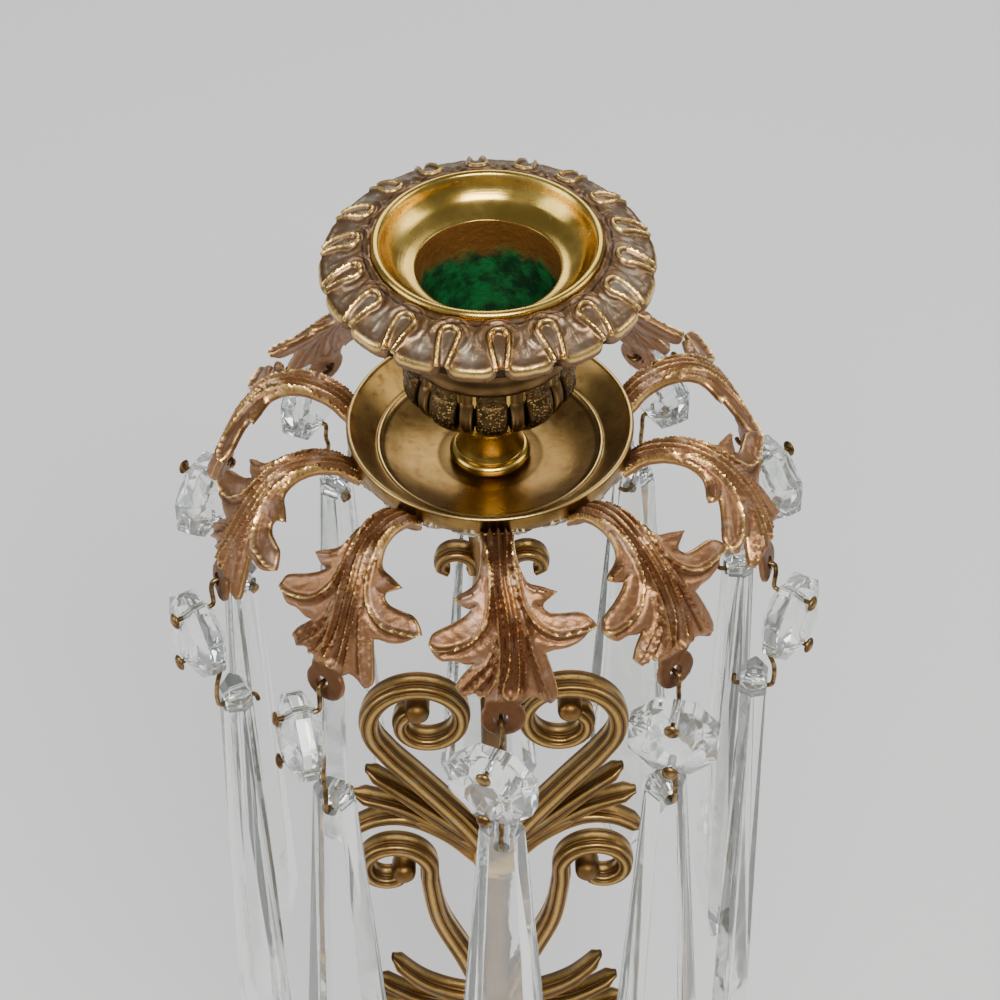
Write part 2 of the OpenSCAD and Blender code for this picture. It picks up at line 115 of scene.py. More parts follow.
def arc(centre, r, a0, a1, n):
    """Points round a centre from angle a0 to a1, in degrees."""
    a = np.radians(np.linspace(a0, a1, n + 1))
    return [(centre[0] + r * math.cos(v), centre[1] + r * math.sin(v)) for v in a]


def chain(*strands):
    """Joins strands end to end and drops points that repeat."""
    out = []
    for strand in strands:
        for p in strand:
            if not out or math.dist(p, out[-1]) > 1e-4:
                out.append(tuple(p))
    return out


# ---------------------------------------------------------------- meshes
def piece(name, points, faces, body, material, stands_for=(), crease=40, fields=None):
    """A closed mesh from millimetre points, riding on a CAD body."""
    mesh = bpy.data.meshes.new(name)
    mesh.from_pydata((np.array(points, float) * MM).tolist(), [], [list(f) for f in faces])
    for field, values in (fields or {}).items():
        layer = mesh.attributes.new(field, "FLOAT", "POINT")
        layer.data.foreach_set("value", np.array(values, np.float32))
    bm = bmesh.new()
    bm.from_mesh(mesh)
    bmesh.ops.remove_doubles(bm, verts=bm.verts, dist=2e-7)
    bmesh.ops.recalc_face_normals(bm, faces=bm.faces)
    bm.to_mesh(mesh)
    bm.free()
    if crease is None:
        mesh.shade_flat()
    else:
        mesh.shade_smooth()
        mesh.set_sharp_from_angle(angle=math.radians(crease))
    obj = bpy.data.objects.new(name, mesh)
    bpy.context.scene.collection.objects.link(obj)
    mesh.materials.append(material)
    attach(obj, body)
    if stands_for:
        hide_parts(*stands_for)
    return obj


def apply_modifiers(obj):
    """Bakes an object's modifiers into its mesh."""
    bpy.context.view_layer.update()
    graph = bpy.context.evaluated_depsgraph_get()
    mesh = bpy.data.meshes.new_from_object(obj.evaluated_get(graph))
    obj.modifiers.clear()
    obj.data = mesh


def lathe(outline, steps=144):
    """A closed outline of (radius, height) turned about the upright axis."""
    n = len(outline)
    points = [polar(max(r, 0.0), TAU * i / steps, z) for i in range(steps) for r, z in outline]
    faces = [(i * n + k, (i + 1) % steps * n + k, (i + 1) % steps * n + (k + 1) % n, i * n + (k + 1) % n)
             for i in range(steps) for k in range(n)]
    return points, faces


def loft(rings):
    """Closed rings of equal length joined into a solid with capped ends."""
    n = len(rings[0])
    last = (len(rings) - 1) * n
    faces = [(j * n + k, j * n + (k + 1) % n, (j + 1) * n + (k + 1) % n, (j + 1) * n + k)
             for j in range(len(rings) - 1) for k in range(n)]
    faces += [tuple(range(n - 1, -1, -1)), tuple(last + k for k in range(n))]
    return [tuple(p) for ring in rings for p in ring], faces


def merged(parts):
    """Several (points, faces) as one."""
    points, faces = [], []
    for p, f in parts:
        base = len(points)
        points += [tuple(q) for q in p]
        faces += [tuple(base + v for v in face) for face in f]
    return points, faces


def tube(path, radius, sides=12):
    """A round wire along a path, with its frame carried along without twisting."""
    p = np.array(path, float)
    tangent = np.gradient(p, axis=0)
    tangent /= np.linalg.norm(tangent, axis=1)[:, None]
    normal = np.cross(tangent[0], (0.31, 0.53, 0.79))
    rings = []
    for q, t in zip(p, tangent):
        normal = normal - t * (normal @ t)
        normal /= np.linalg.norm(normal)
        side = np.cross(t, normal)
        rings.append([q + radius * (math.cos(a) * normal + math.sin(a) * side)
                      for a in np.arange(sides) * TAU / sides])
    return loft(rings)


def wave(x, y, z, scale, seed=0.0):
    """Smooth unevenness between about -1 and 1, from a few sines."""
    return (np.sin(x * scale + 1.7 * seed) * np.cos(y * scale * 1.13 + seed)
            + 0.6 * np.sin((x + y) * scale * 1.9 + 2.3 * seed) * np.cos(z * scale * 1.7 - seed)
            + 0.4 * np.cos((y - z) * scale * 3.1 + seed)) / 2


# ---------------------------------------------------------------- materials
class Paint:
    """A Principled material and short calls for the nodes that feed it."""

    def __init__(self, name):
        self.material = bpy.data.materials.new(name)
        self.material.use_nodes = True
        self.tree = self.material.node_tree
        self.shader = self.tree.nodes["Principled BSDF"]
        self.place = self.node("ShaderNodeTexCoord").outputs["Object"]

    def node(self, kind, **settings):
        made = self.tree.nodes.new(kind)
        for key, value in settings.items():
            setattr(made, key, value)
        return made

    def feed(self, socket, value):
        if isinstance(value, bpy.types.NodeSocket):
            self.tree.links.new(value, socket)
        else:
            socket.default_value = value

    def set(self, name, value):
        if isinstance(value, tuple) and len(value) == 3:
            value = (*value, 1)
        self.feed(self.shader.inputs[name], value)

    def noise(self, scale, detail=4, rough=0.55, place=None):
        made = self.node("ShaderNodeTexNoise")
        self.feed(made.inputs["Vector"], place or self.place)
        made.inputs["Scale"].default_value = scale
        made.inputs["Detail"].default_value = detail
        made.inputs["Roughness"].default_value = rough
        return made.outputs["Fac"]

    def cells(self, scale, feature="F1", output="Distance"):
        made = self.node("ShaderNodeTexVoronoi", feature=feature)
        self.feed(made.inputs["Vector"], self.place)
        made.inputs["Scale"].default_value = scale
        return made.outputs[output]

    def stretched(self, x, y, z):
        made = self.node("ShaderNodeMapping")
        self.feed(made.inputs["Vector"], self.place)
        made.inputs["Scale"].default_value = (x, y, z)
        return made.outputs["Vector"]

    def field(self, name):
        return self.node("ShaderNodeAttribute", attribute_name=name).outputs["Fac"]

    def height(self):
        made = self.node("ShaderNodeSeparateXYZ")
        self.feed(made.inputs[0], self.place)
        return made.outputs["Z"]

    def band(self, value, low, high):
        """0 below low and 1 above high, or the other way round."""
        made = self.node("ShaderNodeMapRange", interpolation_type="SMOOTHSTEP")
        self.feed(made.inputs["Value"], value)
        made.inputs["From Min"].default_value = min(low, high)
        made.inputs["From Max"].default_value = max(low, high)
        made.inputs["To Min"].default_value = 0 if low < high else 1
        made.inputs["To Max"].default_value = 1 if low < high else 0
        return made.outputs["Result"]

    def maths(self, operation, a, b, clamp=False):
        made = self.node("ShaderNodeMath", operation=operation, use_clamp=clamp)
        self.feed(made.inputs[0], a)
        self.feed(made.inputs[1], b)
        return made.outputs[0]

    def scale(self, value, low, high):
        made = self.node("ShaderNodeMapRange")
        self.feed(made.inputs["Value"], value)
        made.inputs["To Min"].default_value = low
        made.inputs["To Max"].default_value = high
        return made.outputs["Result"]

    def mix(self, factor, a, b):
        made = self.node("ShaderNodeMix", data_type="RGBA")
        self.feed(made.inputs[0], factor)
        for socket, colour in ((made.inputs[6], a), (made.inputs[7], b)):
            self.feed(socket, (*colour, 1) if isinstance(colour, tuple) else colour)
        return made.outputs[2]

    def edge(self, radius=0.4):
        """1 on sharp raised edges, from how far the surface bends within a small radius."""
        bevel = self.node("ShaderNodeBevel", samples=4)
        bevel.inputs["Radius"].default_value = radius * MM
        made = self.node("ShaderNodeVectorMath", operation="DOT_PRODUCT")
        self.feed(made.inputs[0], bevel.outputs[0])
        self.feed(made.inputs[1], self.node("ShaderNodeNewGeometry").outputs["Normal"])
        return self.band(made.outputs["Value"], 0.995, 0.9)

    def bump(self, *layers):
        """Layers of (height, depth in millimetres), one over another."""
        normal = None
        for height, depth in layers:
            made = self.node("ShaderNodeBump")
            made.inputs["Distance"].default_value = depth * MM
            self.feed(made.inputs["Height"], height)
            if normal is not None:
                self.feed(made.inputs["Normal"], normal)
            normal = made.outputs["Normal"]
        self.feed(self.shader.inputs["Normal"], normal)


def polished_brass():
    """Socket: olive-gold polish, light scratches, brown and green inside the bore."""
    m = Paint("bright_brass")
    m.set("Metallic", 1.0)
    cloud = m.band(m.noise(90, 6), 0.38, 0.66)
    fine = m.noise(700, 3)
    spots = m.band(m.cells(240), 0.16, 0.07)
    tone = m.mix(cloud, (0.42, 0.27, 0.055), (0.64, 0.44, 0.11))
    tone = m.mix(m.maths("MULTIPLY", spots, m.band(fine, 0.5, 0.62)), tone, (0.80, 0.76, 0.60))
    depth = m.height()
    mouth = (LIP_Z - FUNNEL_DEPTH - 0.4) * MM
    ragged = m.maths("ADD", depth, m.maths("MULTIPLY", m.noise(160, 6, 0.7), 9 * MM))
    inside = m.maths("MULTIPLY", m.band(m.field("bore"), 0.2, 0.8), 1.0)
    brown = m.mix(m.noise(220, 5), (0.16, 0.062, 0.012), (0.34, 0.15, 0.03))
    green = m.mix(m.band(m.noise(420, 6), 0.35, 0.68), (0.001, 0.022, 0.005), (0.006, 0.105, 0.022))
    crust = m.band(ragged, mouth + 0.5 * MM, mouth - 2.5 * MM)
    m.set("Base Color", m.mix(inside, tone, m.mix(crust, brown, green)))
    m.set("Metallic", m.maths("SUBTRACT", 1.0, m.maths("MULTIPLY", inside, m.scale(crust, 0.3, 0.95)), True))
    rough = m.scale(m.maths("ADD", m.maths("MULTIPLY", cloud, 0.5), m.maths("MULTIPLY", fine, 0.5)), 0.14, 0.34)
    m.set("Roughness", m.maths("ADD", rough, m.maths("MULTIPLY", inside, 0.3), True))
    turning = m.noise(60, 2, 0.5, m.stretched(1, 1, 60))
    m.bump((turning, 0.02), (fine, 0.012), (m.maths("MULTIPLY", inside, m.noise(900, 5)), 0.25))
    return m.material


def patina(name, dark, body, gold, grain=0.06, shine=(0.28, 0.5), dust=(0.42, 0.36, 0.31), dusty=0.5,
           cloud_scale=130, recessed=None):
    """Cast brass with a dark patina in its hollows, gold on worn ridges and pale dust between. On the collar the wear
    field also holds a painted highlight and painted shade on the rolled edge.
    """
    m = Paint(name)
    wear = m.field("wear")
    cloud = m.band(m.noise(cloud_scale, 7, 0.62), 0.34, 0.68)
    speck = m.noise(1500, 3, 0.6)
    tone = m.mix(cloud, body, tuple(0.5 * (b + d) for b, d in zip(body, dark)))
    tone = m.mix(m.maths("MULTIPLY", m.band(m.noise(260, 5), 0.5, 0.7), dusty), tone, dust)
    if recessed:
        tone = m.mix(m.maths("MULTIPLY", m.field("recess"), m.scale(cloud, 0.1, 0.7)), tone, recessed)
    lifted = m.maths("ADD", wear, m.scale(speck, -2.4 * grain, 2.4 * grain))
    tone = m.mix(m.band(lifted, 0.42, 0.95), tone, gold)
    tone = m.mix(m.band(lifted, -0.15, -0.75), tone, dark)
    m.set("Base Color", tone)
    m.set("Metallic", m.scale(m.band(lifted, -0.5, 0.5), 0.72, 1.0))
    m.set("Roughness", m.maths("ADD", m.scale(cloud, *shine), m.scale(m.band(lifted, 0.4, 1.0), 0.06, -0.08), True))
    m.bump((m.noise(420, 4), grain * 2.2), (speck, grain))
    return m.material


def stippled_cup():
    """The cup: punched dots on the wide lobes, smooth worn ribs between them."""
    m = Paint("cup_bronze")
    wear = m.field("wear")
    punched = m.field("stipple")
    dots = m.band(m.cells(2100), 0.50, 0.18)
    dotted = m.maths("MULTIPLY", punched, dots)
    cloud = m.band(m.noise(180, 6), 0.35, 0.65)
    tone = m.mix(cloud, (0.11, 0.062, 0.022), (0.20, 0.12, 0.045))
    tone = m.mix(m.maths("MULTIPLY", punched, 0.75), tone, (0.045, 0.025, 0.010))
    tone = m.mix(m.maths("MULTIPLY", dotted, m.band(m.noise(300, 3), 0.34, 0.55)), tone, (0.70, 0.48, 0.17))
    tone = m.mix(m.band(wear, 0.35, 0.9), tone, (0.62, 0.42, 0.15))
    tone = m.mix(m.band(wear, -0.1, -0.8), tone, (0.018, 0.010, 0.004))
    m.set("Base Color", tone)
    m.set("Metallic", 1.0)
    m.set("Roughness", m.scale(m.noise(500, 3), 0.24, 0.44))
    m.bump((dotted, 0.16), (m.noise(900, 3), 0.02))
    return m.material


def pan_brass():
    """Drip pan: satin brown-gold with lighter rubbed patches and a fine uneven surface."""
    m = Paint("pan_brass")
    wear = m.field("wear")
    large = m.band(m.noise(46, 6, 0.6), 0.36, 0.64)
    small = m.noise(330, 6, 0.65)
    tone = m.mix(large, (0.19, 0.11, 0.030), (0.40, 0.245, 0.075))
    tone = m.mix(m.band(small, 0.48, 0.70), tone, (0.15, 0.075, 0.022))
    tone = m.mix(m.band(m.noise(120, 3), 0.60, 0.76), tone, (0.46, 0.36, 0.19))
    tone = m.mix(m.band(wear, 0.3, 1.0), tone, (0.72, 0.52, 0.20))
    tone = m.mix(m.band(wear, -0.2, -0.9), tone, (0.07, 0.042, 0.012))
    m.set("Base Color", tone)
    m.set("Metallic", 1.0)
    m.set("Roughness", m.scale(m.maths("ADD", m.maths("MULTIPLY", large, 0.4), m.maths("MULTIPLY", small, 0.6)),
                               0.22, 0.46))
    m.bump((m.noise(150, 5), 0.10), (m.noise(1300, 2), 0.012))
    return m.material


def clear_glass():
    """Cut glass with a faint green tint and slightly uneven polish."""
    m = Paint("cut_glass")
    m.set("Base Color", (0.94, 0.98, 0.955))
    m.set("Transmission Weight", 0.93)
    m.set("IOR", 1.54)
    m.set("Roughness", m.scale(m.band(m.noise(160, 4), 0.45, 0.75), 0.02, 0.12))
    m.bump((m.noise(110, 3), 0.05),)
    return m.material


def wire_metal():
    m = Paint("pin_wire")
    cloud = m.band(m.noise(700, 4), 0.4, 0.62)
    m.set("Base Color", m.mix(cloud, (0.085, 0.045, 0.018), (0.30, 0.19, 0.075)))
    m.set("Metallic", 1.0)
    m.set("Roughness", m.scale(cloud, 0.5, 0.28))
    m.bump((m.noise(1800, 3), 0.03),)
    return m.material


def solder():
    m = Paint("solder")
    cloud = m.band(m.noise(420, 5), 0.4, 0.62)
    m.set("Base Color", m.mix(cloud, (0.50, 0.48, 0.44), (0.86, 0.85, 0.82)))
    m.set("Metallic", 1.0)
    m.set("Roughness", m.scale(cloud, 0.42, 0.22))
    m.bump((m.noise(900, 4), 0.12),)
    return m.material


def steel():
    m = Paint("dull_steel")
    m.set("Metallic", 1.0)
    m.set("Base Color", m.mix(m.noise(300, 5), (0.28, 0.26, 0.24), (0.58, 0.56, 0.53)))
    m.set("Roughness", m.scale(m.noise(500, 4), 0.3, 0.5))
    m.bump((m.noise(900, 3), 0.02),)
    return m.material


def marble():
    """Honed white marble: soft grey clouds and thin wandering veins."""
    m = Paint("marble")
    bend = m.node("ShaderNodeVectorMath", operation="ADD")
    m.feed(bend.inputs[0], m.place)
    drift = m.node("ShaderNodeTexNoise")
    m.feed(drift.inputs["Vector"], m.place)
    drift.inputs["Scale"].default_value = 26
    drift.inputs["Detail"].default_value = 5
    shrink = m.node("ShaderNodeVectorMath", operation="SCALE")
    m.feed(shrink.inputs[0], drift.outputs["Color"])
    shrink.inputs["Scale"].default_value = 0.05
    m.feed(bend.inputs[1], shrink.outputs[0])
    vein = m.node("ShaderNodeTexNoise")
    m.feed(vein.inputs["Vector"], bend.outputs[0])
    vein.inputs["Scale"].default_value = 17
    vein.inputs["Detail"].default_value = 6
    ridge = m.maths("ABSOLUTE", m.maths("SUBTRACT", vein.outputs["Fac"], 0.5), 0.0)
    cloud = m.band(m.noise(20, 6), 0.36, 0.7)
    tone = m.mix(cloud, (0.84, 0.83, 0.80), (0.70, 0.69, 0.67))
    tone = m.mix(m.maths("MULTIPLY", m.band(ridge, 0.022, 0.0), 0.7), tone, (0.36, 0.36, 0.37))
    tone = m.mix(m.maths("MULTIPLY", m.band(ridge, 0.07, 0.01), 0.25), tone, (0.58, 0.55, 0.50))
    m.set("Base Color", tone)
    m.set("Roughness", m.scale(m.noise(240, 4), 0.16, 0.34))
    m.set("Subsurface Weight", 0.12)
    m.shader.inputs["Subsurface Radius"].default_value = (0.006, 0.005, 0.004)
    m.bump((m.noise(500, 4), 0.02),)
    return m.material


# ---------------------------------------------------------------- candle socket
def build_nozzle(brass):
    """Rolled lip, concave polished bowl, bore and tube, in one turned piece."""
    mouth = LIP_Z - FUNNEL_DEPTH
    floor = mouth - BORE_DEPTH
    tube_r = BORE_R + 1.2
    rim = arc((LIP_R - 0.7, LIP_Z - 0.7), 0.7, -10, 150, 10)
    bowl = smooth([(LIP_R - 1.5, LIP_Z - 0.75), (LIP_R - 2.1, LIP_Z - 2.2), (LIP_R - 3.3, LIP_Z - 3.7),
                   (BORE_R + 1.6, mouth + 0.4), (BORE_R + 0.35, mouth + 0.05)], 7)
    corner = arc((BORE_R + 0.25, mouth - 0.25), 0.25, 90, 180, 4)
    wall = [(BORE_R, z) for z in np.linspace(mouth - 0.8, floor + 0.6, 14)]
    foot = arc((BORE_R - 0.6, floor + 0.6), 0.6, 0, -90, 4)
    well = [(4.3, floor), (4.3, floor - 2), (2.8, floor - 2), (2.8, floor - 3)]
    outside = [(tube_r, floor - 3)] + [(r, LIP_Z + z) for r, z in (
        (tube_r, -6.1), (13.4, -5.9), (14.9, -4.7), (16.0, -3.0), (16.4, -1.6), (LIP_R - 0.1, -1.2))]
    outline = chain(rim, bowl, corner, wall, foot, well, outside)
    points, faces = lathe(outline, 192)
    inner = [1.0 if math.hypot(p[0], p[1]) < BORE_R + 0.2 and p[2] < mouth - 0.1 else 0.0 for p in points]
    piece("candle_nozzle_turned", points, faces, "stand", brass, ["candle_nozzle"],
          crease=60, fields={"bore": inner})


# Petals and loops of the collar. Heights are in millimetres below the lip; V is the distance in
# millimetres from the collar's top, out and down over its surface.
PETALS = 18
PETAL_START = math.radians(4.0)
COLLAR_LINE = [(16.9, -1.0), (17.8, -1.1), (19.0, -1.3), (20.5, -1.7), (22.0, -2.2), (23.3, -2.9), (24.3, -3.8),
               (24.7, -4.8), (24.6, -5.7), (24.0, -6.6), (22.4, -7.9), (20.4, -9.4)]
LOOP_TOP, LOOP_FOOT, LOOP_HALF = 3.9, 8.7, 1.45


def loop_height(x, v):
    """A raised inverted U whose legs close in downwards, a hollow with a vein inside it, and a broad
    band over it."""
    down = np.clip((v - LOOP_TOP) / (LOOP_FOOT - LOOP_TOP), 0, 1)
    half = LOOP_HALF - 0.75 * down ** 1.2
    inside = np.where(v >= LOOP_TOP, half - np.abs(x), LOOP_HALF - np.hypot(x, v - LOOP_TOP))
    ends = np.clip((LOOP_FOOT + 0.3 - v) / 0.5, 0, 1)
    ridge = np.exp(-(inside / 0.36) ** 2) * ends
    vein = np.exp(-(x / 0.28) ** 2) * np.clip((v - LOOP_TOP) / 1.2, 0, 1)
    hollow = np.clip((inside - 0.3) / 0.45, 0, 1) * ends * (1 - 0.5 * vein)
    band = np.exp(-((np.hypot(x, v - LOOP_TOP - 0.2) - 2.95) / 0.5) ** 2) * np.clip((6.3 - v) / 1.6, 0, 1)
    return ridge, hollow, band


def build_collar(bronze):
    """Polar grid: a rolled scallop edge, hollow petals, and a loop and band over each notch."""
    columns, rows = PETALS * 44, 104
    line = smooth(COLLAR_LINE, 12)
    step = np.linalg.norm(np.diff(line, axis=0), axis=1)
    along = np.concatenate([[0], np.cumsum(step)])
    v = np.linspace(0, along[-1], rows)
    r0, z0 = (np.interp(v, along, line[:, k]) for k in (0, 1))
    tangent = np.gradient(np.stack([r0, z0], 1), axis=0)
    tangent /= np.linalg.norm(tangent, axis=1)[:, None]
    out_r, out_z = -tangent[:, 1], tangent[:, 0]
    angle = np.arange(columns) * TAU / columns
    pitch = TAU / PETALS
    turn = (angle - PETAL_START + pitch / 2) % pitch - pitch / 2
    V, X = np.meshgrid(v, turn, indexing="ij")
    R = np.repeat(r0[:, None], columns, 1)
    x_mm = X * R
    to_mid = (pitch / 2) * R - np.abs(x_mm)
    ridge, hollow, band = loop_height(x_mm, V)
    inner_roll = np.exp(-((V - 0.8) / 0.45) ** 2)
    floor = np.exp(-(to_mid / 1.9) ** 4) * np.exp(-((V - 5.9) / 2.5) ** 4)
    crease = np.exp(-(to_mid / 0.32) ** 2) * np.exp(-((V - 5.8) / 2.0) ** 4)
    roll = np.exp(-(to_mid / 3.5) ** 6) * np.exp(-((V - 9.8) / 1.7) ** 4)
    notch = np.exp(-(np.abs(x_mm) / 0.75) ** 2) * np.clip((V - 8.6) / 1.0, 0, 1)
    lift = (0.70 * ridge - 0.10 * hollow + 0.45 * band + 0.25 * inner_roll - 0.45 * floor + 0.2 * crease
            + 0.65 * roll - 1.2 * notch)
    rough = 0.05 * wave(R * np.sin(angle), R * np.cos(angle), V * 0.6, 2.2)
    lift = (lift + rough) * np.clip(V / 0.7, 0, 1) * np.clip((along[-1] - V) / 0.8, 0.1, 1)
    RR = r0[:, None] + out_r[:, None] * lift
    ZZ = LIP_Z + z0[:, None] + out_z[:, None] * lift
    # The wear field mixes wear and painted light. The roll term at V 9.0 is a painted highlight along the top of the
    # rolled edge. The ramp past V 11.2 is painted shade, darkening the edge where it turns under. The rest is wear:
    # gold on the loop ridges, and dark patina in the hollows and notches.
    wear = (1.2 * ridge + 0.05 * band + 0.3 * inner_roll + 1.0 * roll * np.exp(-((V - 9.0) / 0.8) ** 2)
            + 0.25 * crease - 0.15 * hollow - 1.1 * notch - 0.2 * floor
            - 0.7 * np.exp(-((V - 1.7) / 0.3) ** 2) - 1.0 * np.clip((V - 11.2) / 1.5, 0, 1))
    top = [[polar(RR[i, j], angle[j], ZZ[i, j]) for j in range(columns)] for i in range(rows)]
    under = [(20.0, -9.9), (17.5, -10.9), (13.6, -11.0), (12.35, -10.9), (12.35, -6.3), (13.6, -6.1), (15.1, -4.9),
             (16.2, -3.2), (16.6, -1.8)]
    rings = top + [[polar(r, a, LIP_Z + z) for a in angle] for r, z in under]
    points = [p for ring in rings for p in ring]
    count = len(rings)
    faces = [(i * columns + j, i * columns + (j + 1) % columns, (i + 1) % count * columns + (j + 1) % columns,
              (i + 1) % count * columns + j) for i in range(count) for j in range(columns)]
    values = np.concatenate([wear.ravel(), np.full(len(under) * columns, -0.6)])
    recess = np.concatenate([np.clip(floor + hollow - ridge, 0, 1).ravel(), np.zeros(len(under) * columns)])
    piece("scalloped_collar_cast", points, faces, "stand", bronze, ["scalloped_collar"],
          crease=75, fields={"wear": values, "recess": recess})


def build_cup(bronze):
    """Ten wide punched lobes and ten narrow smooth ribs round a bulbous cup, under a plain neck."""
    columns = 720
    line = smooth([(7.6, CUP_Z), (8.6, CUP_Z + 0.1), (10.6, CUP_Z + 1.6), (12.6, CUP_Z + 4.0),
                   (13.2, CUP_Z + 6.2), (12.7, CUP_Z + 8.6), (11.6, CUP_Z + 10.2)], 8)
    neck = smooth([(11.4, CUP_Z + 10.6), (12.6, CUP_Z + 11.2), (13.3, CUP_Z + 12.2), (13.2, CUP_Z + 13.4),
                   (12.8, CUP_Z + 14.6), (13.0, CUP_Z + 16.4), (13.9, CUP_Z + 18.6), (15.2, COLLAR_Z + 0.6)], 4)
    inside = [(12.35, COLLAR_Z + 0.6), (12.35, CUP_Z + 3.6), (2.9, CUP_Z + 3.6), (2.9, CUP_Z)]
    angle = np.arange(columns) * TAU / columns - RING_START
    sector = TAU / 10
    from_lobe = (angle + sector / 2) % sector - sector / 2
    from_rib = angle % sector - sector / 2
    points, wear, stipple = [], [], []
    rows = 0
    shown = chain(line, neck, inside)
    for r, z in shown:
        h = (z - CUP_Z) / 10.2
        bulge = np.clip(math.sin(math.pi * np.clip(h, 0, 1)), 0, 1) ** 0.6 if r > 7.7 and h < 1 else 0.0
        lobe_x, rib_x = from_lobe * 13, from_rib * 13
        lobe = np.clip(1 - (np.abs(lobe_x) / 2.65) ** 2.6, 0, 1) ** 0.5
        rib = np.clip(1 - (rib_x / 1.25) ** 2, 0, 1) ** 0.5
        rise = bulge * (1.35 * lobe + 1.0 * rib - 0.8)
        rr = r + (rise if r > 7.7 and z <= CUP_Z + 10.4 else 0 * rise)
        rr = np.minimum(rr, 14.05)
        points += [polar(rr[j], TAU * j / columns, z) for j in range(columns)]
        groove = np.clip(1 - lobe * 1.4, 0, 1) * np.clip(1 - rib * 1.4, 0, 1) * bulge
        neck_gold = 0.55 * math.exp(-((z - CUP_Z - 12.6) / 0.7) ** 2)
        edge = np.exp(-((np.abs(rib_x) - 0.85) / 0.28) ** 2)
        wear += list((0.35 * rib ** 2 + 0.9 * edge) * bulge - 1.2 * groove + neck_gold - 0.35)
        stipple += list(np.clip(lobe * 1.6 - 0.35, 0, 1) * (bulge > 0.3) * np.clip(1.25 - h, 0.2, 1))
        rows += 1
    faces = [(i * columns + j, i * columns + (j + 1) % columns, (i + 1) % rows * columns + (j + 1) % columns,
              (i + 1) % rows * columns + j) for i in range(rows) for j in range(columns)]
    piece("gadrooned_cup_cast", points, faces, "stand", bronze, ["gadrooned_cup"],
          crease=70, fields={"wear": wear, "stipple": stipple})


def build_foot(brass):
    """Waist with a fillet and a bright bead at its base."""
    z = PAN_FLOOR_Z
    bead = arc((5.3, z + 1.1), 1.1, -90, 90, 12)
    outline = chain([(2.8, z)], bead, [(5.1, z + 2.4)],
                    smooth([(5.4, z + 2.6), (4.8, z + 3.9), (4.5, z + 5.6), (4.7, z + 7.4), (5.6, z + 9.2),
                            (7.0, z + 10.6), (7.5, CUP_Z)], 6), [(2.8, CUP_Z)])
    points, faces = lathe(outline, 128)
    piece("socket_foot_turned", points, faces, "stand", brass, ["socket_foot"], crease=50)


def build_pan(brass):
    """Spun dish: flat seat, hollow floor, a raised ring line and a flared rim with a rolled edge."""
    z, top = PAN_FLOOR_Z, PAN_RIM_Z
    ring = 17.5
    upper = smooth([(7.8, z), (10.5, z + 0.3), (13.5, z + 1.1), (16.2, z + 2.2), (ring - 0.35, z + 2.7)], 7)
    bead = smooth([(ring - 0.2, z + 2.95), (ring + 0.1, z + 3.1), (ring + 0.4, z + 2.95)], 3)
    flare = smooth([(ring + 0.6, z + 3.0), (19.4, z + 4.2), (21.0, z + 5.7), (PAN_R - 0.75, top - 0.3)], 6)
    lip = arc((PAN_R - 0.45, top - 0.45), 0.45, 135, 0, 8)
    band = [(PAN_R - 0.02, top - 1.6), (PAN_R - 0.1, top - 3.0), (PAN_R - 0.5, top - 3.35), (PAN_R - 1.1, top - 3.3)]
    lower = smooth([(20.6, z + 3.0), (18.6, z + 1.3), (15.0, z - 0.4), (9.5, z - 1.4)], 6)
    outline = chain([(2.8, z)], upper, bead, flare, lip, band, lower, [(2.8, z - 1.4)])
    points, faces = lathe(outline, 240)
    wear = []
    for p in points:
        r = math.hypot(p[0], p[1])
        high = p[2] > z - 0.1
        wear.append(0.9 * math.exp(-((r - ring - 0.1) / 0.22) ** 2) * high
                    + 0.8 * math.exp(-((r - PAN_R + 0.3) / 0.35) ** 2) * (p[2] > top - 0.9)
                    - 0.7 * math.exp(-((r - ring + 0.7) / 0.35) ** 2) * high
                    - 0.8 * math.exp(-((r - 8.0) / 0.6) ** 2) * high - (0 if high else 0.4))
    piece("drip_pan_spun", points, faces, "stand", brass, ["drip_pan"], crease=55,
          fields={"wear": wear})


# ---------------------------------------------------------------- acanthus leaves
# A leaf is drawn flat: u across it (positive to the right, seen from outside), v down its length
# from the pan's edge. Strands run between the corners of its outline, down the right side and up
# the left.
LEAF_RIGHT = [
    [(2.6, -3.6), (2.7, 2.0), (2.9, 6.3), (3.5, 9.0), (4.5, 11.0), (6.6, 11.7), (8.9, 12.5)],
    [(8.9, 12.5), (7.6, 13.5), (6.7, 14.3), (7.0, 15.2), (8.2, 15.7), (10.0, 15.7), (12.0, 15.6),
     (13.4, 16.3), (14.7, 17.7)],
    [(14.7, 17.7), (13.5, 18.7), (12.0, 20.1), (10.1, 21.0), (8.2, 21.3), (6.9, 21.7)],
    [(6.9, 21.7), (7.5, 23.6), (8.1, 25.6), (8.6, 28.0), (8.3, 29.3), (7.5, 30.0)],
    [(7.5, 30.0), (6.6, 29.6), (5.4, 28.9), (4.3, 28.9)]]
LEAF_TAB = arc((0.45, HOLE_R - 12.0), 3.45, 62, -242, 30)
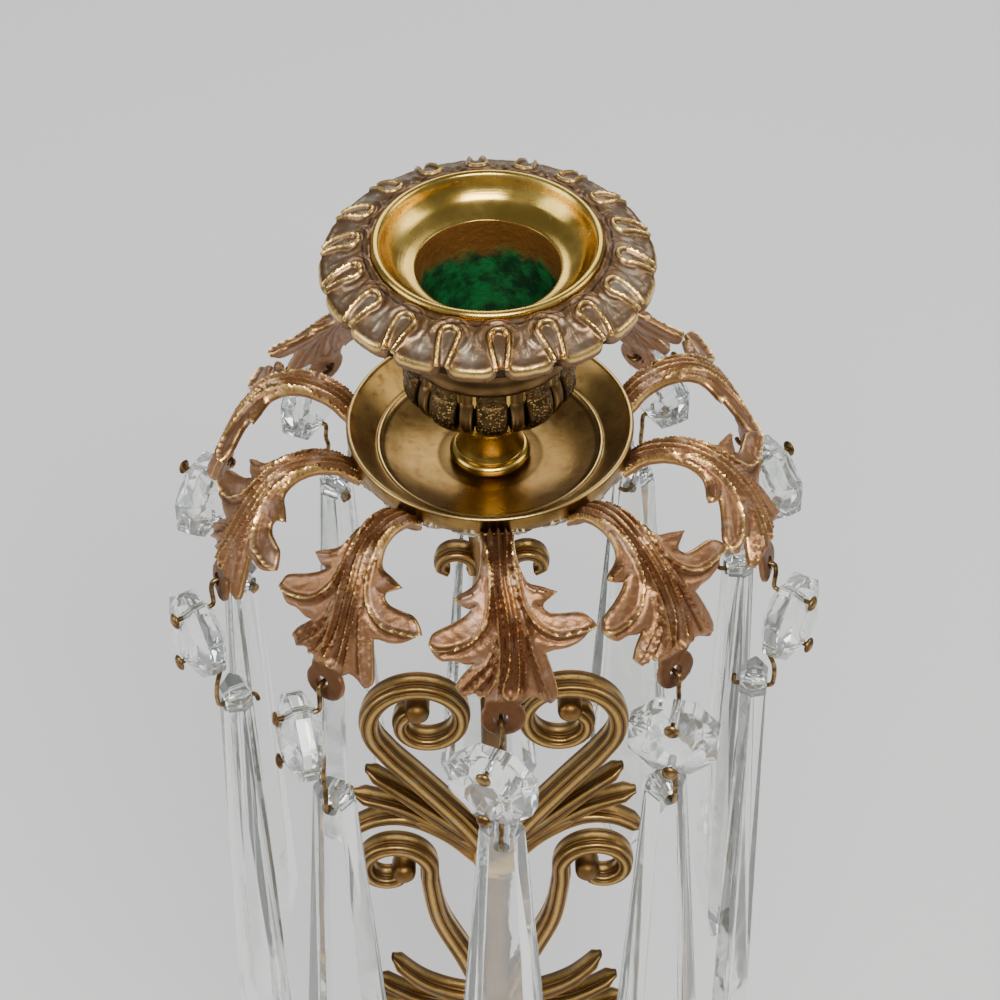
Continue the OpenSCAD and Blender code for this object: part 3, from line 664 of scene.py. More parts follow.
LEAF_LEFT = [
    [(-2.3, 28.9), (-2.6, 28.3), (-3.2, 28.9)],
    [(-3.2, 28.9), (-3.7, 28.0), (-4.4, 28.0), (-5.6, 28.5)],
    [(-5.6, 28.5), (-6.2, 27.6), (-6.7, 26.7)],
    [(-6.7, 26.7), (-5.8, 25.2), (-4.6, 23.9), (-3.9, 23.1)],
    [(-3.9, 23.1), (-5.2, 23.1), (-6.8, 22.5), (-8.6, 22.5), (-9.8, 21.5), (-10.6, 19.9)],
    [(-10.6, 19.9), (-10.0, 18.4), (-8.7, 17.6), (-6.9, 16.8), (-4.9, 15.6), (-4.1, 14.8)],
    [(-4.1, 14.8), (-5.4, 14.3), (-6.7, 13.2)],
    [(-6.7, 13.2), (-5.8, 12.5), (-4.4, 11.8), (-3.3, 10.8), (-2.7, 9.0), (-2.4, 6.0), (-2.4, 2.0), (-2.6, -3.6)]]
# Ribs: height, half-width, wear and the points they pass through
LEAF_RIBS = [
    (0.70, 0.34, 1.0, [(2.2, 4.5), (2.5, 8.4), (3.4, 13.0), (4.4, 15.6), (5.7, 17.2), (7.3, 18.3), (9.1, 18.8),
                       (11.3, 18.5), (13.4, 18.1), (14.5, 17.8)]),
    (0.70, 0.34, 1.0, [(-1.7, 5.0), (-1.3, 8.2), (-1.2, 12.4), (-1.4, 14.7), (-1.8, 16.4), (-2.9, 18.1), (-4.4, 19.5),
                       (-6.6, 20.3), (-8.8, 20.5), (-10.2, 20.1)]),
    (0.62, 0.36, 0.7, [(-0.8, -3.0), (-0.8, 1.7), (-0.6, 6.5), (-0.6, 11.5), (-0.2, 16.0), (0.0, 20.5), (-0.2, 24.5),
                       (-0.7, 28.5)]),
    (0.66, 0.34, 0.8, [(0.45, -3.0), (0.45, 3.5), (0.45, 10.5), (1.1, 14.8), (1.5, 18.5), (1.5, 21.8), (1.1, 24.4),
                       (0.4, 26.4), (0.5, 27.8), (1.3, 28.6), (2.3, 28.1), (2.75, 26.4), (2.9, 23.2), (2.8, 20.1),
                       (2.6, 16.3), (2.1, 13.0), (1.5, 9.8), (1.6, 3.6), (1.6, -3.0)]),
    (0.50, 0.32, 0.5, [(1.9, 9.5), (2.7, 12.5), (3.3, 15.6), (3.6, 20.9), (3.8, 24.8), (3.8, 28.6)]),
    (0.52, 0.34, 0.6, [(3.4, 14.8), (4.3, 18.4), (5.0, 21.2), (5.8, 23.8), (6.8, 26.8), (7.8, 29.2)]),
    (0.48, 0.32, 0.6, [(-0.6, 18.5), (-1.2, 21.2), (-2.2, 22.9), (-4.0, 24.5), (-6.0, 26.6)]),
    (0.52, 0.34, 0.6, [(-0.5, 21.0), (-1.4, 23.9), (-3.2, 26.0), (-5.1, 27.9)]),
    (0.45, 0.30, 0.7, [(-0.2, 23.1), (-0.9, 25.8), (-2.0, 27.5), (-3.1, 28.4)]),
    (0.35, 0.30, 0.4, [(2.6, 7.5), (4.3, 11.5), (6.4, 12.4), (8.5, 12.6)]),
    (0.35, 0.30, 0.4, [(-2.0, 7.5), (-2.9, 11.6), (-4.6, 12.9), (-6.4, 13.2)]),
    (0.55, 0.30, 0.4, [(-2.2, -3.0), (-2.1, 3.0), (-1.9, 6.0)]),
    (0.55, 0.30, 0.4, [(2.4, -3.0), (2.5, 3.0), (2.5, 6.5)])]
# Grooves beside the ribs
LEAF_GROOVES = [
    (0.55, 0.50, [(3.0, 12.0), (4.0, 15.4), (5.3, 17.9), (7.2, 19.3), (9.2, 19.8), (11.4, 19.4), (13.0, 18.8)]),
    (0.55, 0.50, [(-0.75, 12.0), (-1.0, 15.0), (-1.6, 17.3), (-2.9, 19.1), (-4.5, 20.5), (-6.6, 21.3), (-8.6, 21.3)]),
    (0.50, 0.34, [(-0.15, -3.0), (-0.15, 4.0), (-0.1, 11.0), (0.5, 15.5), (0.8, 20.0), (0.5, 24.0), (-0.2, 27.0)]),
    (0.50, 0.34, [(1.0, -3.0), (1.0, 5.0), (1.0, 9.5)]),
    (0.45, 0.34, [(2.0, -3.0), (2.05, 4.0), (1.8, 8.0)]),
    (0.45, 0.34, [(-1.4, -3.0), (-1.4, 4.0), (-0.95, 8.0)]),
    (0.40, 0.55, [(2.0, 16.5), (2.15, 20.0), (2.1, 24.0), (1.5, 27.2)]),
    (0.45, 0.34, [(3.2, 17.0), (3.3, 21.0), (3.35, 27.0)]),
    (0.50, 0.40, [(4.0, 19.0), (4.7, 22.5), (5.4, 25.5), (6.0, 28.0)]),
    (0.45, 0.32, [(-0.9, 21.0), (-1.8, 23.4), (-3.6, 25.4), (-5.6, 27.3)]),
    (0.45, 0.32, [(-0.7, 23.4), (-1.6, 25.7), (-3.0, 27.4)]),
    (0.35, 0.30, [(-3.4, 14.2), (-4.4, 14.6)]),
    (0.35, 0.30, [(5.3, 14.2), (6.4, 14.6)])]


TAB_V = 32.4              # distance v of the tab's hole


def leaf_centreline():
    """Points (radius, height) down the leaf and the distance v at each, zero by the pan's edge."""
    rim = PAN_RIM_Z
    line = smooth([(19.8, rim - 6.3), (21.8, rim - 4.9), (23.7, rim - 3.1), (25.6, rim - 1.2), (28.2, rim + 0.0),
                   (30.5, rim + 0.4), (33.0, rim + 0.1),
                   (36.0, rim - 1.6), (39.0, rim - 4.9), (41.7, rim - 9.4), (44.0, rim - 14.9),
                   (HOLE_R, HOLE_Z), (HOLE_R + 0.3, HOLE_Z - 3.8)], 12)
    v = np.concatenate([[0], np.cumsum(np.linalg.norm(np.diff(line, axis=0), axis=1))])
    hole = np.argmin(np.hypot(line[:, 0] - HOLE_R, line[:, 1] - HOLE_Z))
    v -= v[hole] - TAB_V
    return line, v, v[hole]


def distance_to(points, path):
    """Distance from each point to a path."""
    p = smooth(path, 5)
    a, b = p[:-1], p[1:]
    d = b - a
    rel = points[:, None, :] - a[None]
    t = np.clip((rel * d).sum(2) / (d ** 2).sum(1), 0, 1)
    return np.linalg.norm(rel - t[..., None] * d, axis=2).min(1)


def inside_of(points, polygon):
    """Which points lie inside a polygon."""
    x, y = points[:, 0][:, None], points[:, 1][:, None]
    x0, y0 = polygon[:, 0], polygon[:, 1]
    x1, y1 = np.roll(x0, -1), np.roll(y0, -1)
    crosses = (y0 > y) != (y1 > y)
    at = x0 + (y - y0) / np.where(y1 == y0, 1e-9, y1 - y0) * (x1 - x0)
    return (crosses & (x < at)).sum(1) % 2 == 1


def resampled(path, spacing):
    """The same path with points a set distance apart, its corners kept."""
    p = np.array(path)
    v = np.concatenate([[0], np.cumsum(np.linalg.norm(np.diff(p, axis=0), axis=1))])
    n = max(2, int(round(v[-1] / spacing)) + 1)
    t = np.linspace(0, v[-1], n)
    return np.stack([np.interp(t, v, p[:, k]) for k in (0, 1)], 1)


def leaf_plan(hole_v):
    """Flat triangulated leaf with relief: points, triangles, heights, thickness, wear."""
    spacing = 0.36
    tab = [(0.35 + 3.4 * math.cos(a), hole_v + 3.3 * math.sin(a)) for a in np.linspace(-0.75, math.pi + 0.6, 30)]
    strands = [smooth(s, 6) for s in LEAF_RIGHT] + [[LEAF_RIGHT[-1][-1], tab[0]], tab, [tab[-1], LEAF_LEFT[0][0]]]
    strands += [smooth(s, 6) for s in LEAF_LEFT] + [[LEAF_LEFT[-1][-1], LEAF_RIGHT[0][0]]]
    border = np.vstack([resampled(s, spacing)[:-1] for s in strands])
    hole = np.array([(1.15 * math.cos(a), hole_v + 1.15 * math.sin(a)) for a in np.arange(20) * TAU / 20])
    lo, hi = border.min(0), border.max(0)
    row = spacing * math.sqrt(3) / 2
    grid = np.array([(lo[0] + (i + 0.5 * (j % 2)) * spacing, lo[1] + j * row)
                     for j in range(int((hi[1] - lo[1]) / row) + 1) for i in range(int((hi[0] - lo[0]) / spacing) + 1)])
    rim = np.vstack([border, hole])
    clear = np.array([np.hypot(*(rim - g).T).min() for g in grid]) > 0.55 * spacing
    keep = clear & inside_of(grid, border) & ~inside_of(grid, hole)
    flat = np.vstack([border, hole, grid[keep]])
    nb, nh = len(border), len(hole)
    edges = [(k, (k + 1) % nb) for k in range(nb)] + [(nb + k, nb + (k + 1) % nh) for k in range(nh)]
    verts, _, tris, *_ = delaunay_2d_cdt([Vector(p) for p in flat], edges, [], 0, 1e-6)
    flat = np.array([tuple(v) for v in verts])
    tris = np.array([t for t in tris])
    centre = flat[tris].mean(1)
    tris = tris[inside_of(centre, border) & ~inside_of(centre, hole)]
    lift = np.zeros(len(flat))
    wear = np.zeros(len(flat))
    for height, half, shine, path in LEAF_RIBS:
        near = np.exp(-(distance_to(flat, path) / (0.9 * half)) ** 2)
        lift = np.maximum(lift, 1.25 * height * near)
        wear = np.maximum(wear, shine * near)
    for depth, half, path in LEAF_GROOVES:
        near = np.exp(-(distance_to(flat, path) / half) ** 2)
        lift -= depth * near * (1 - np.clip(wear, 0, 1))
        wear -= 0.8 * near * (1 - np.clip(wear, 0, 1))
    edge = distance_to(flat, np.vstack([border, border[:1]]).tolist())
    rim_wear = np.exp(-(edge / 0.28) ** 2)
    tab_part = np.clip((flat[:, 1] - 28.7) / 0.8, 0, 1)
    lift += (0.30 * np.clip(edge / 1.6, 0, 1) ** 0.7) * (1 - tab_part)
    lift *= 1 - 0.85 * tab_part
    wear += 0.75 * rim_wear * (1 - 0.4 * tab_part) - 0.85 * tab_part
    lift += 0.07 * wave(flat[:, 0], flat[:, 1], flat[:, 0] * 0.3, 2.6, 1.0)
    thick = 0.30 + 0.32 * np.clip(edge / 0.7, 0, 1) ** 0.5
    used = np.unique(tris)
    index = {int(v): k for k, v in enumerate(used)}
    tris = [[index[int(v)] for v in t] for t in tris]
    return flat[used], tris, lift[used], thick[used], wear[used]


def build_leaves(copper):
    line, along, hole_v = leaf_centreline()
    flat, tris, lift, thick, wear = leaf_plan(hole_v)
    slope = np.gradient(line, axis=0)
    slope /= np.linalg.norm(slope, axis=1)[:, None]
    n = len(flat)
    count = {}
    for t in tris:
        for a, b in ((t[0], t[1]), (t[1], t[2]), (t[2], t[0])):
            count[(a, b)] = 1
    walls = [(a, b) for a, b in count if (b, a) not in count]
    faces = [tuple(t) for t in tris] + [tuple(n + v for v in reversed(t)) for t in tris]
    faces += [(b, a, n + a, n + b) for a, b in walls]
    base_r, base_z = (np.interp(flat[:, 1], along, line[:, k]) for k in (0, 1))
    out_r, out_z = (np.interp(flat[:, 1], along, v) for v in (-slope[:, 1], slope[:, 0]))
    for i in range(1, LEAVES + 1):
        warp = 0.22 * wave(flat[:, 0], flat[:, 1], flat[:, 1] * 0, 0.23, i * 1.3)
        warp *= np.clip(1 - np.abs(flat[:, 1] - 16) / 14, 0, 1)
        level = 0.04 * wave(flat[:, 0], flat[:, 1], flat[:, 1] * 0.7, 3.3, i * 0.7)
        points = []
        for height in (warp + lift + thick + level, warp + 0.35 * lift - thick):
            r = base_r + out_r * height
            z = base_z + out_z * height
            a = azimuth(i)
            points += list(zip(r * math.sin(a) + flat[:, 0] * math.cos(a),
                               -r * math.cos(a) + flat[:, 0] * math.sin(a), z))
        values = np.concatenate([wear, np.full(n, -0.35)])
        piece(f"acanthus_leaf_cast_{i:02d}", points, faces, "stand", copper,
              [f"acanthus_leaf_{i:02d}"], crease=70, fields={"wear": values})


def build_solder(metal):
    """Ragged beads of solder under the pan's edge, beside each leaf's root."""
    parts = []
    for i in range(1, LEAVES + 1):
        for side in (-1, 1):
            start, reach = 0.105 + 0.02 * rng.random(), 0.12 + 0.07 * rng.random()
            path = [polar(PAN_R - 0.1 - 0.25 * t, azimuth(i) + side * (start + reach * t), PAN_RIM_Z - 3.25 - 0.12 * t)
                    for t in np.linspace(0, 1, 12)]
            parts.append(tapered(path, 0.50, 0.20))
    points, faces = merged(parts)
    piece("rim_solder", points, faces, "stand", metal)


def tapered(path, r0, r1):
    """A bead along a path that narrows from r0 to r1 and closes round at both ends."""
    p = np.array(path, float)
    k = np.linspace(0, 1, len(p))
    radius = (r0 + (r1 - r0) * k) * np.sqrt(np.clip(np.sin(math.pi * (0.04 + 0.92 * k)), 0.05, 1))
    radius *= 1 + 0.25 * np.sin(k * 17 + p[0, 0])
    tangent = np.gradient(p, axis=0)
    tangent /= np.linalg.norm(tangent, axis=1)[:, None]
    rings = []
    for q, t, r in zip(p, tangent, radius):
        side = np.cross(t, (0, 0, 1.0))
        side /= np.linalg.norm(side)
        up = np.cross(side, t)
        rings.append([q + r * (math.cos(a) * side + math.sin(a) * up) for a in np.arange(8) * TAU / 8])
    return loft(rings)


# ---------------------------------------------------------------- lustres
# How each button has turned on its wire, and each prism, seen from above, in degrees
BUTTON_TURN = [-26, -50, -16, 14, -20, 10, 24, -12, 12, -40]
PRISM_TURN = [-6, -14, 8, -8, 10, -4, 9, -10, 6, 12]
TAB_FRONT = 1.55          # the wire's line in front of the tab
BUTTON_BACK = 3.29        # the wire's line behind the button's middle
HEAD_FRONT = 3.36         # seat of a pin's head in front of the button's middle
BUTTON_DROP = 10.0        # tab hole to the button's middle
PITCH = 9.5               # between a button's holes
PRISM_IN = 0.6
PRISM_DROP = 28.25        # tab hole to the prism's hole
PRISM_FACE = 3.05
WIRE_R = 0.4
HEAD_R = 1.3


def at_tab(i):
    """From a lustre's own axes (-Y outward, at the tab hole) to the frame."""
    return Matrix.Translation(Vector(polar(HOLE_R, azimuth(i), HOLE_Z))) @ Matrix.Rotation(azimuth(i), 4, "Z")


def button_place(i):
    turn = Matrix.Rotation(math.radians(BUTTON_TURN[i - 1]), 4, "Z")
    return at_tab(i) @ Matrix.Translation((0, -TAB_FRONT, 0)) @ turn @ Matrix.Translation((0, -BUTTON_BACK, 0))


def prism_place(i):
    turn = Matrix.Rotation(math.radians(PRISM_TURN[i - 1]), 4, "Z")
    return at_tab(i) @ Matrix.Translation((0, PRISM_IN, -PRISM_DROP)) @ turn


def moved(matrix, points):
    return [tuple(matrix @ Vector(p)) for p in points]


def cut_button():
    """Table, star facets, kites and girdle facets, front and back, lying in its own X-Z plane."""
    girdle, mid, table = 7 / math.cos(TAU / 16), 5.55, 3.2 / math.cos(TAU / 16)
    points, faces = [], []
    for sign in (-1, 1):
        for k in range(8):
            corner, flat = TAU * (k + 0.5) / 8, TAU * k / 8
            points.append((girdle * math.cos(corner), sign * 1.2, girdle * math.sin(corner)))
            points.append((mid * math.cos(flat), sign * 2.2, mid * math.sin(flat)))
            points.append((table * math.cos(corner), sign * 3.3, table * math.sin(corner)))
    for half in (0, 24):
        for k in range(8):
            a, b = half + 3 * k, half + 3 * ((k + 7) % 8)
            faces += [(b, a, a + 1), (b + 2, a + 1, a + 2), (a, half + (3 * k + 4) % 24, a + 2), (a, a + 2, a + 1)]
        faces.append(tuple(half + 3 * k + 2 for k in range(8)))
    faces += [(3 * k, 3 * ((k + 1) % 8), 24 + 3 * ((k + 1) % 8), 24 + 3 * k) for k in range(8)]
    return points, faces


def cut_prism():
    """Spear: bevelled head, long tapering body with flat front and bevelled sides, faceted point."""
    cuts = [(0, 5.0, 2.6), (1.8, 7.2, 4.4), (88, 19, 6.4), (94.5, 14.4, 5.1), (105, 1.4, 1.2)]
    rings = []
    for down, width, thick in cuts:
        w, t, f, z = width / 2, thick / 2, 0.27 * width, 4 - down
        rings.append([(-w, -0.12 * t, z), (-f, -t, z), (f, -t, z), (w, -0.12 * t, z), (w, 0.12 * t, z), (f, t, z),
                      (-f, t, z), (-w, 0.12 * t, z)])
    return loft(rings)


def drilled(name, shape, holes, place, body, material, node, bevel):
    """A cut glass piece with its holes bored through and its edges just broken."""
    points, faces = shape
    obj = piece(name, points, faces, body, material, [node], crease=None)
    cutters = []
    for x, z, r in holes:
        bm = bmesh.new()
        bmesh.ops.create_cone(bm, cap_ends=True, segments=24, radius1=r * MM, radius2=r * MM, depth=0.03,
                              matrix=Matrix.Translation((x * MM, 0, z * MM)) @ Matrix.Rotation(TAU / 4, 4, "X"))
        mesh = bpy.data.meshes.new("cutter")
        bm.to_mesh(mesh)
        bm.free()
        cutter = bpy.data.objects.new("cutter", mesh)
        bpy.context.scene.collection.objects.link(cutter)
        cutters.append(cutter)
    soft = obj.modifiers.new("edges", "BEVEL")
    soft.width = bevel * MM
    soft.segments = 1
    soft.limit_method = "ANGLE"
    soft.angle_limit = math.radians(9)
    for cutter in cutters:
        cut = obj.modifiers.new("hole", "BOOLEAN")
        cut.operation = "DIFFERENCE"
        cut.solver = "EXACT"
        cut.object = cutter
    apply_modifiers(obj)
    for cutter in cutters:
        bpy.data.objects.remove(cutter)
    scale = Matrix.Translation(place.translation * MM) @ place.to_3x3().to_4x4()
    obj.data.transform(scale)
    return obj


def head(centre, outward, bump):
    """A pin's domed head, a little uneven, on a centre and facing outward."""
    outline = [(0, -0.12), (0.82, -0.12), (1.1, 0.0), (1.25, 0.16), (1.22, 0.34), (1.02, 0.55), (0.68, 0.74),
               (0.32, 0.84), (0, 0.86)]
    points, faces = lathe([(r * HEAD_R / 1.25, z) for r, z in outline], 24)
    turn = Vector((0, 0, 1)).rotation_difference(Vector(outward)).to_matrix().to_4x4()
    place = Matrix.Translation(Vector(centre)) @ turn
    points = [(x * (1 + 0.06 * math.sin(3 * x + bump)), y * (1 + 0.06 * math.cos(2 * y + bump)), z) for x, y, z in points]
    return moved(place, points), faces


def build_lustre(i, glass, wire):
    frame_at = at_tab(i)
    turned = button_place(i)
    upper, lower = PITCH / 2 - BUTTON_DROP, -PITCH / 2 - BUTTON_DROP
    out = (turned.to_3x3() @ Vector((0, -1, 0)))
    seats = [turned @ Vector((0, -HEAD_FRONT, z)) for z in (upper, lower)]
    through = [turned @ Vector((0, y, z)) for z in (upper, lower) for y in (BUTTON_BACK - 0.6, 0)]
    bow = 0.25 * math.sin(2.1 * i)
    first = [frame_at @ Vector(p) for p in ((1.7, 1.55, 0.1), (0.9, 1.6, 0.05), (0.15, 1.3, 0), (0, 0.5, 0), (0, -0.8, 0),
                                            (0.05, -1.45, -0.35), (bow, -TAB_FRONT - 0.1, -1.9),
                                            (0.5 * bow, -TAB_FRONT, -3.6), (0, -TAB_FRONT, upper + 0.5))]
    upper_path = smooth([tuple(p) for p in first + through[:2] + [seats[0]]], 6)
    prism = prism_place(i)
    entry, leave = prism @ Vector((0, -PRISM_FACE, 0)), prism @ Vector((0, PRISM_FACE, 0))
    above = prism @ Vector((0.1, -PRISM_FACE - 0.1, 4.6))
    second = [frame_at @ Vector(p) for p in ((0, -TAB_FRONT, lower - 0.5), (0.1, -TAB_FRONT - 0.1, lower - 3.0),
                                             (-bow, -TAB_FRONT, lower - 5.4))]
    tail = [above, prism @ Vector((0, -PRISM_FACE - 0.15, 1.2)), prism @ Vector((0, -PRISM_FACE + 0.5, 0.1)),
            prism @ Vector((0, 0, 0)), leave, prism @ Vector((1.6, PRISM_FACE + 0.2, 0.1))]
    lower_path = smooth([tuple(p) for p in [seats[1], through[3], through[2]] + second + tail], 6)
    parts = [tube(upper_path, WIRE_R, 10), tube(lower_path, WIRE_R, 10)]
    parts += [head(seat, out, i + k) for k, seat in enumerate(seats)]
    points, faces = merged(parts)
    piece(f"wire_pins_bent_{i:02d}", points, faces, f"button_{i:02d}", wire, [f"wire_pins_{i:02d}"],
          crease=60)
    centre = turned @ Matrix.Translation((0, 0, -BUTTON_DROP))
    drilled(f"glass_button_cut_{i:02d}", cut_button(), [(0, PITCH / 2, 0.7), (0, -PITCH / 2, 0.7)], centre,
            f"button_{i:02d}", glass, f"glass_button_{i:02d}", 0.10)
    drilled(f"glass_prism_cut_{i:02d}", cut_prism(), [(0, 0, 1.3)], prism_place(i), f"prism_{i:02d}",
            glass, f"glass_prism_{i:02d}", 0.14)


# ---------------------------------------------------------------- stem casting
GRID_H = 232.0


def grid_z(h):
    return CASTING_Z + h * (STEM_TOP - CASTING_Z) / GRID_H


def volute(centre, r0, r1, a0, a1, n):
    k = np.linspace(0, 1, n + 1)
    a, r = np.radians(a0 + (a1 - a0) * k), r0 + (r1 - r0) * k
    return [(centre[0] + q * math.cos(b), centre[1] + q * math.sin(b)) for q, b in zip(r, a)]


CURLS = [
    chain(smooth([(1.5, 145), (6, 153), (12.5, 162.5), (18, 170)], 5), volute((12.2, 179.5), 9.9, 2.8, -35, 430, 66)),
    chain(smooth([(2, 102), (6, 114), (10.5, 126), (12, 137)], 5), volute((18.9, 140), 7, 2.4, 175, -160, 48)),
    chain(smooth([(1.5, 62), (6, 67), (12, 73), (17, 79)], 5), volute((10.6, 85.5), 8.6, 2.6, -25, 330, 48)),
    chain(smooth([(1.5, 58), (7, 48), (15, 38), (21.5, 27), (24.5, 16)], 5), volute((15.8, 10), 9.6, 2.8, 20, -330, 54))]
SIDE_CURL = volute((6.2, 217), 3.6, 1.8, 200, -60, 24)
FINGERS = [
    [(2, 145), (9, 152.5), (16, 160), (22.5, 166.5)], [(2, 143.5), (10, 151), (17, 156.5), (25, 160)],
    [(2, 142), (8, 149), (15, 153.5), (21, 153.5), (26.5, 150)], [(2, 102), (7, 102), (14, 106), (19.5, 113)],
    [(2, 100), (8, 99), (15, 101), (22.5, 107)], [(2, 98), (8, 95.5), (15, 96), (24, 100.5)],
    [(2, 60), (7, 56), (12, 56), (16, 61)], [(2, 40), (5, 33), (7.5, 24), (7, 15)]]
STALK = [(0, 6), (5, 4.4), (16, 3.2), (54, 2.9), (60, 4.6), (66, 2.9), (94, 2.7), (101, 4.4), (108, 2.7),
         (136, 2.9), (144, 4.8), (153, 2.5), (198, 2.4), (208, 3.4), (216, 3.2), (232, 4.6)]


def ribbed_bar(path, w0, w1, depth, ribs=4, close=0.5):
    """A cast strip along a path in the X-Z plane, rounded and ribbed all round, its ends drawn in.
    Returns points, faces and wear."""
    p = np.array([(x, grid_z(h)) for x, h in path])
    p = resampled(p, 0.7)
    d = np.gradient(p, axis=0)
    d /= np.linalg.norm(d, axis=1)[:, None]
    side = np.stack([-d[:, 1], d[:, 0]], 1)
    k = np.linspace(0, 1, len(p))
    width = (w0 + (w1 - w0) * k) / 2
    ends = np.sqrt(np.clip(np.minimum((len(p) - 1) * (1 - k), 3 + 0 * k) / 3, close, 1))
    turn = np.arange(16 * ribs) * TAU / (16 * ribs)
    ridge = np.abs(np.cos(ribs * turn)) ** 0.8
    swell = 0.86 + 0.14 * ridge
    across = np.sign(np.cos(turn)) * np.abs(np.cos(turn)) ** 0.75 * swell
    deep = np.sign(np.sin(turn)) * np.abs(np.sin(turn)) ** 0.75 * swell
    rings, wear = [], []
    for q, n, w, e in zip(p, side, width, ends):
        rings.append([(q[0] + n[0] * w * a * e, -depth / 2 * b * e, q[1] + n[1] * w * a * e)
                      for a, b in zip(across, deep)])
        wear += list(1.7 * ridge - 0.95)
    points, faces = loft(rings)
    return points, faces, wear


def build_stem(bronze):
    parts, wear = [], []

    def add(made):
        points, faces, values = made
        for sign in (1, -1):
            parts.append(([(sign * x, y, z) for x, y, z in points], faces))
            wear.extend(values)

    for curl in CURLS:
        add(ribbed_bar(curl, 4.3, 2.8, 5.2))
        tip = np.array([(x, grid_z(h)) for x, h in curl])[-1]
        eye = [(0, 3.0), (1.3, 2.8), (2.0, 2.1), (2.2, 1.3), (2.2, -1.3), (2.0, -2.1), (1.3, -2.8), (0, -3.0)]
        points, faces = lathe(eye, 28)
        add(([(x + tip[0], z, y + tip[1]) for x, y, z in points], faces, [0.4] * len(points)))
    add(ribbed_bar(SIDE_CURL, 2.9, 2.0, 4.4, 3))
    for finger in FINGERS:
        add(ribbed_bar(smooth(finger, 8), 4.4, 1.7, 4.6, 3, 0.2))
    stalk = smooth([(r, grid_z(h)) for h, r in STALK], 5)
    points, faces = lathe(chain([(0, stalk[0][1])], stalk, [(0, stalk[-1][1])]), 56)
    parts.append((points, faces))
    wear += [np.clip((math.hypot(p[0], p[1]) - 3.0) / 1.6, -0.4, 0.9) for p in points]
    points, faces = merged(parts)
    piece("scroll_stem_cast", points, faces, "stand", bronze, ["scroll_stem"], crease=60,
          fields={"wear": wear})


def build_boss(brass):
    z, h = BOSS_Z, BOSS_TOP - BOSS_Z
    outline = chain([(2.8, z)], smooth([(4.7, z), (5.0, z + 0.6), (5.1, z + 1.4)], 3),
                    arc((5.2, z + 0.36 * h), 1.35, -70, 75, 8),
                    smooth([(5.3, z + 0.56 * h), (5.6, z + 0.66 * h), (7.2, z + 0.78 * h), (7.95, z + 0.88 * h),
                            (7.9, z + h)], 4), [(2.8, z + h)])
    points, faces = lathe(outline, 96)
    piece("pan_boss_turned", points, faces, "stand", brass, ["pan_boss"], crease=50)


# ---------------------------------------------------------------- base
def slab(width, depth, z0, z1, profile, bore, recess=None):
    """A rectangular slab with a moulded edge: profile is (inset, height share) up its side, with
    rounded upright corners and a bore through it."""
    corner_r, steps = 3.0, 6
    rings = []
    for inset, share in profile:
        ring = []
        w, d, r = width / 2 - inset, depth / 2 - inset, max(corner_r - inset, 0.6)
        for k, (sx, sy) in enumerate(((1, 1), (-1, 1), (-1, -1), (1, -1))):
            for a in np.linspace(0, TAU / 4, steps + 1):
                b = a + k * TAU / 4
                ring.append((sx * (w - r) + r * math.cos(b), sy * (d - r) + r * math.sin(b), z0 + share * (z1 - z0)))
        rings.append(ring)
    n = len(rings[0])
    outward = [math.atan2(y, x) for x, y, _ in rings[0]]
    inner = [(bore, z1), (bore, z0)] if recess is None else [(bore, z1), (bore, recess[1]), (recess[0], recess[1]),
                                                            (recess[0], z0)]
    for r, z in inner:
        rings.append([(r * math.cos(a), r * math.sin(a), z) for a in outward])
    count = len(rings)
    faces = [(j * n + k, j * n + (k + 1) % n, (j + 1) % count * n + (k + 1) % n, (j + 1) % count * n + k)
             for j in range(count) for k in range(n)]
    return [p for ring in rings for p in ring], faces


def build_base(stone, bronze):
    low, high = extent("marble_lower_step")
    edge = [(0.6, 0.0), (0.0, 0.03), (0.0, 0.86), (0.35, 0.92), (0.9, 0.965), (1.6, 0.99), (2.4, 1.0)]
    points, faces = slab(high[0] - low[0], high[1] - low[1], low[2], high[2], edge, 3.4, (12.0, 10.0))
    piece("marble_lower_step_honed", points, faces, "stand", stone, ["marble_lower_step"], crease=50)
    low, high = extent("marble_upper_step")
    points, faces = slab(high[0] - low[0], high[1] - low[1], low[2], high[2], edge, 3.4)
    piece("marble_upper_step_honed", points, faces, "stand", stone, ["marble_upper_step"], crease=50)
    low, high = extent("cast_foot")
    mould = [(0.3, 0.0), (0.0, 0.04), (0.0, 0.30), (0.5, 0.36), (1.4, 0.38), (2.3, 0.42), (2.9, 0.52), (3.9, 0.62),
             (5.2, 0.68), (5.2, 0.90), (5.5, 0.97), (6.2, 1.0)]
    points, faces = slab(high[0] - low[0], high[1] - low[1], low[2], high[2], mould, 3.4)
    wear = [0.8 if abs(p[2] - low[2] - 0.34 * (high[2] - low[2])) < 1 or p[2] > high[2] - 0.6 else -0.1 for p in points]
    piece("cast_foot_moulded", points, faces, "stand", bronze, ["cast_foot"], crease=45,
          fields={"wear": wear})


def finish_hardware(metal):
    for node in ("tie_rod", "base_washer", "base_nut", "centre_screw"):
        obj = frame["nodes"][node]
        obj.data.materials.clear()
        obj.data.materials.append(metal)


# ---------------------------------------------------------------- stage
def build_stage():
    m = Paint("pale_floor")
    m.set("Base Color", m.mix(m.noise(3, 3), (0.72, 0.715, 0.71), (0.76, 0.755, 0.75)))
    m.set("Roughness", 0.6)
    bpy.ops.mesh.primitive_plane_add(size=8, location=(0, 0, 0))
    floor = bpy.context.object
    floor.name = "floor"
    floor.data.materials.append(m.material)
    world = bpy.data.worlds.new("studio")
    bpy.context.scene.world = world
    world.use_nodes = True
    sky = world.node_tree.nodes["Background"]
    sky.inputs["Color"].default_value = (0.80, 0.82, 0.86, 1)
    sky.inputs["Strength"].default_value = 0.33


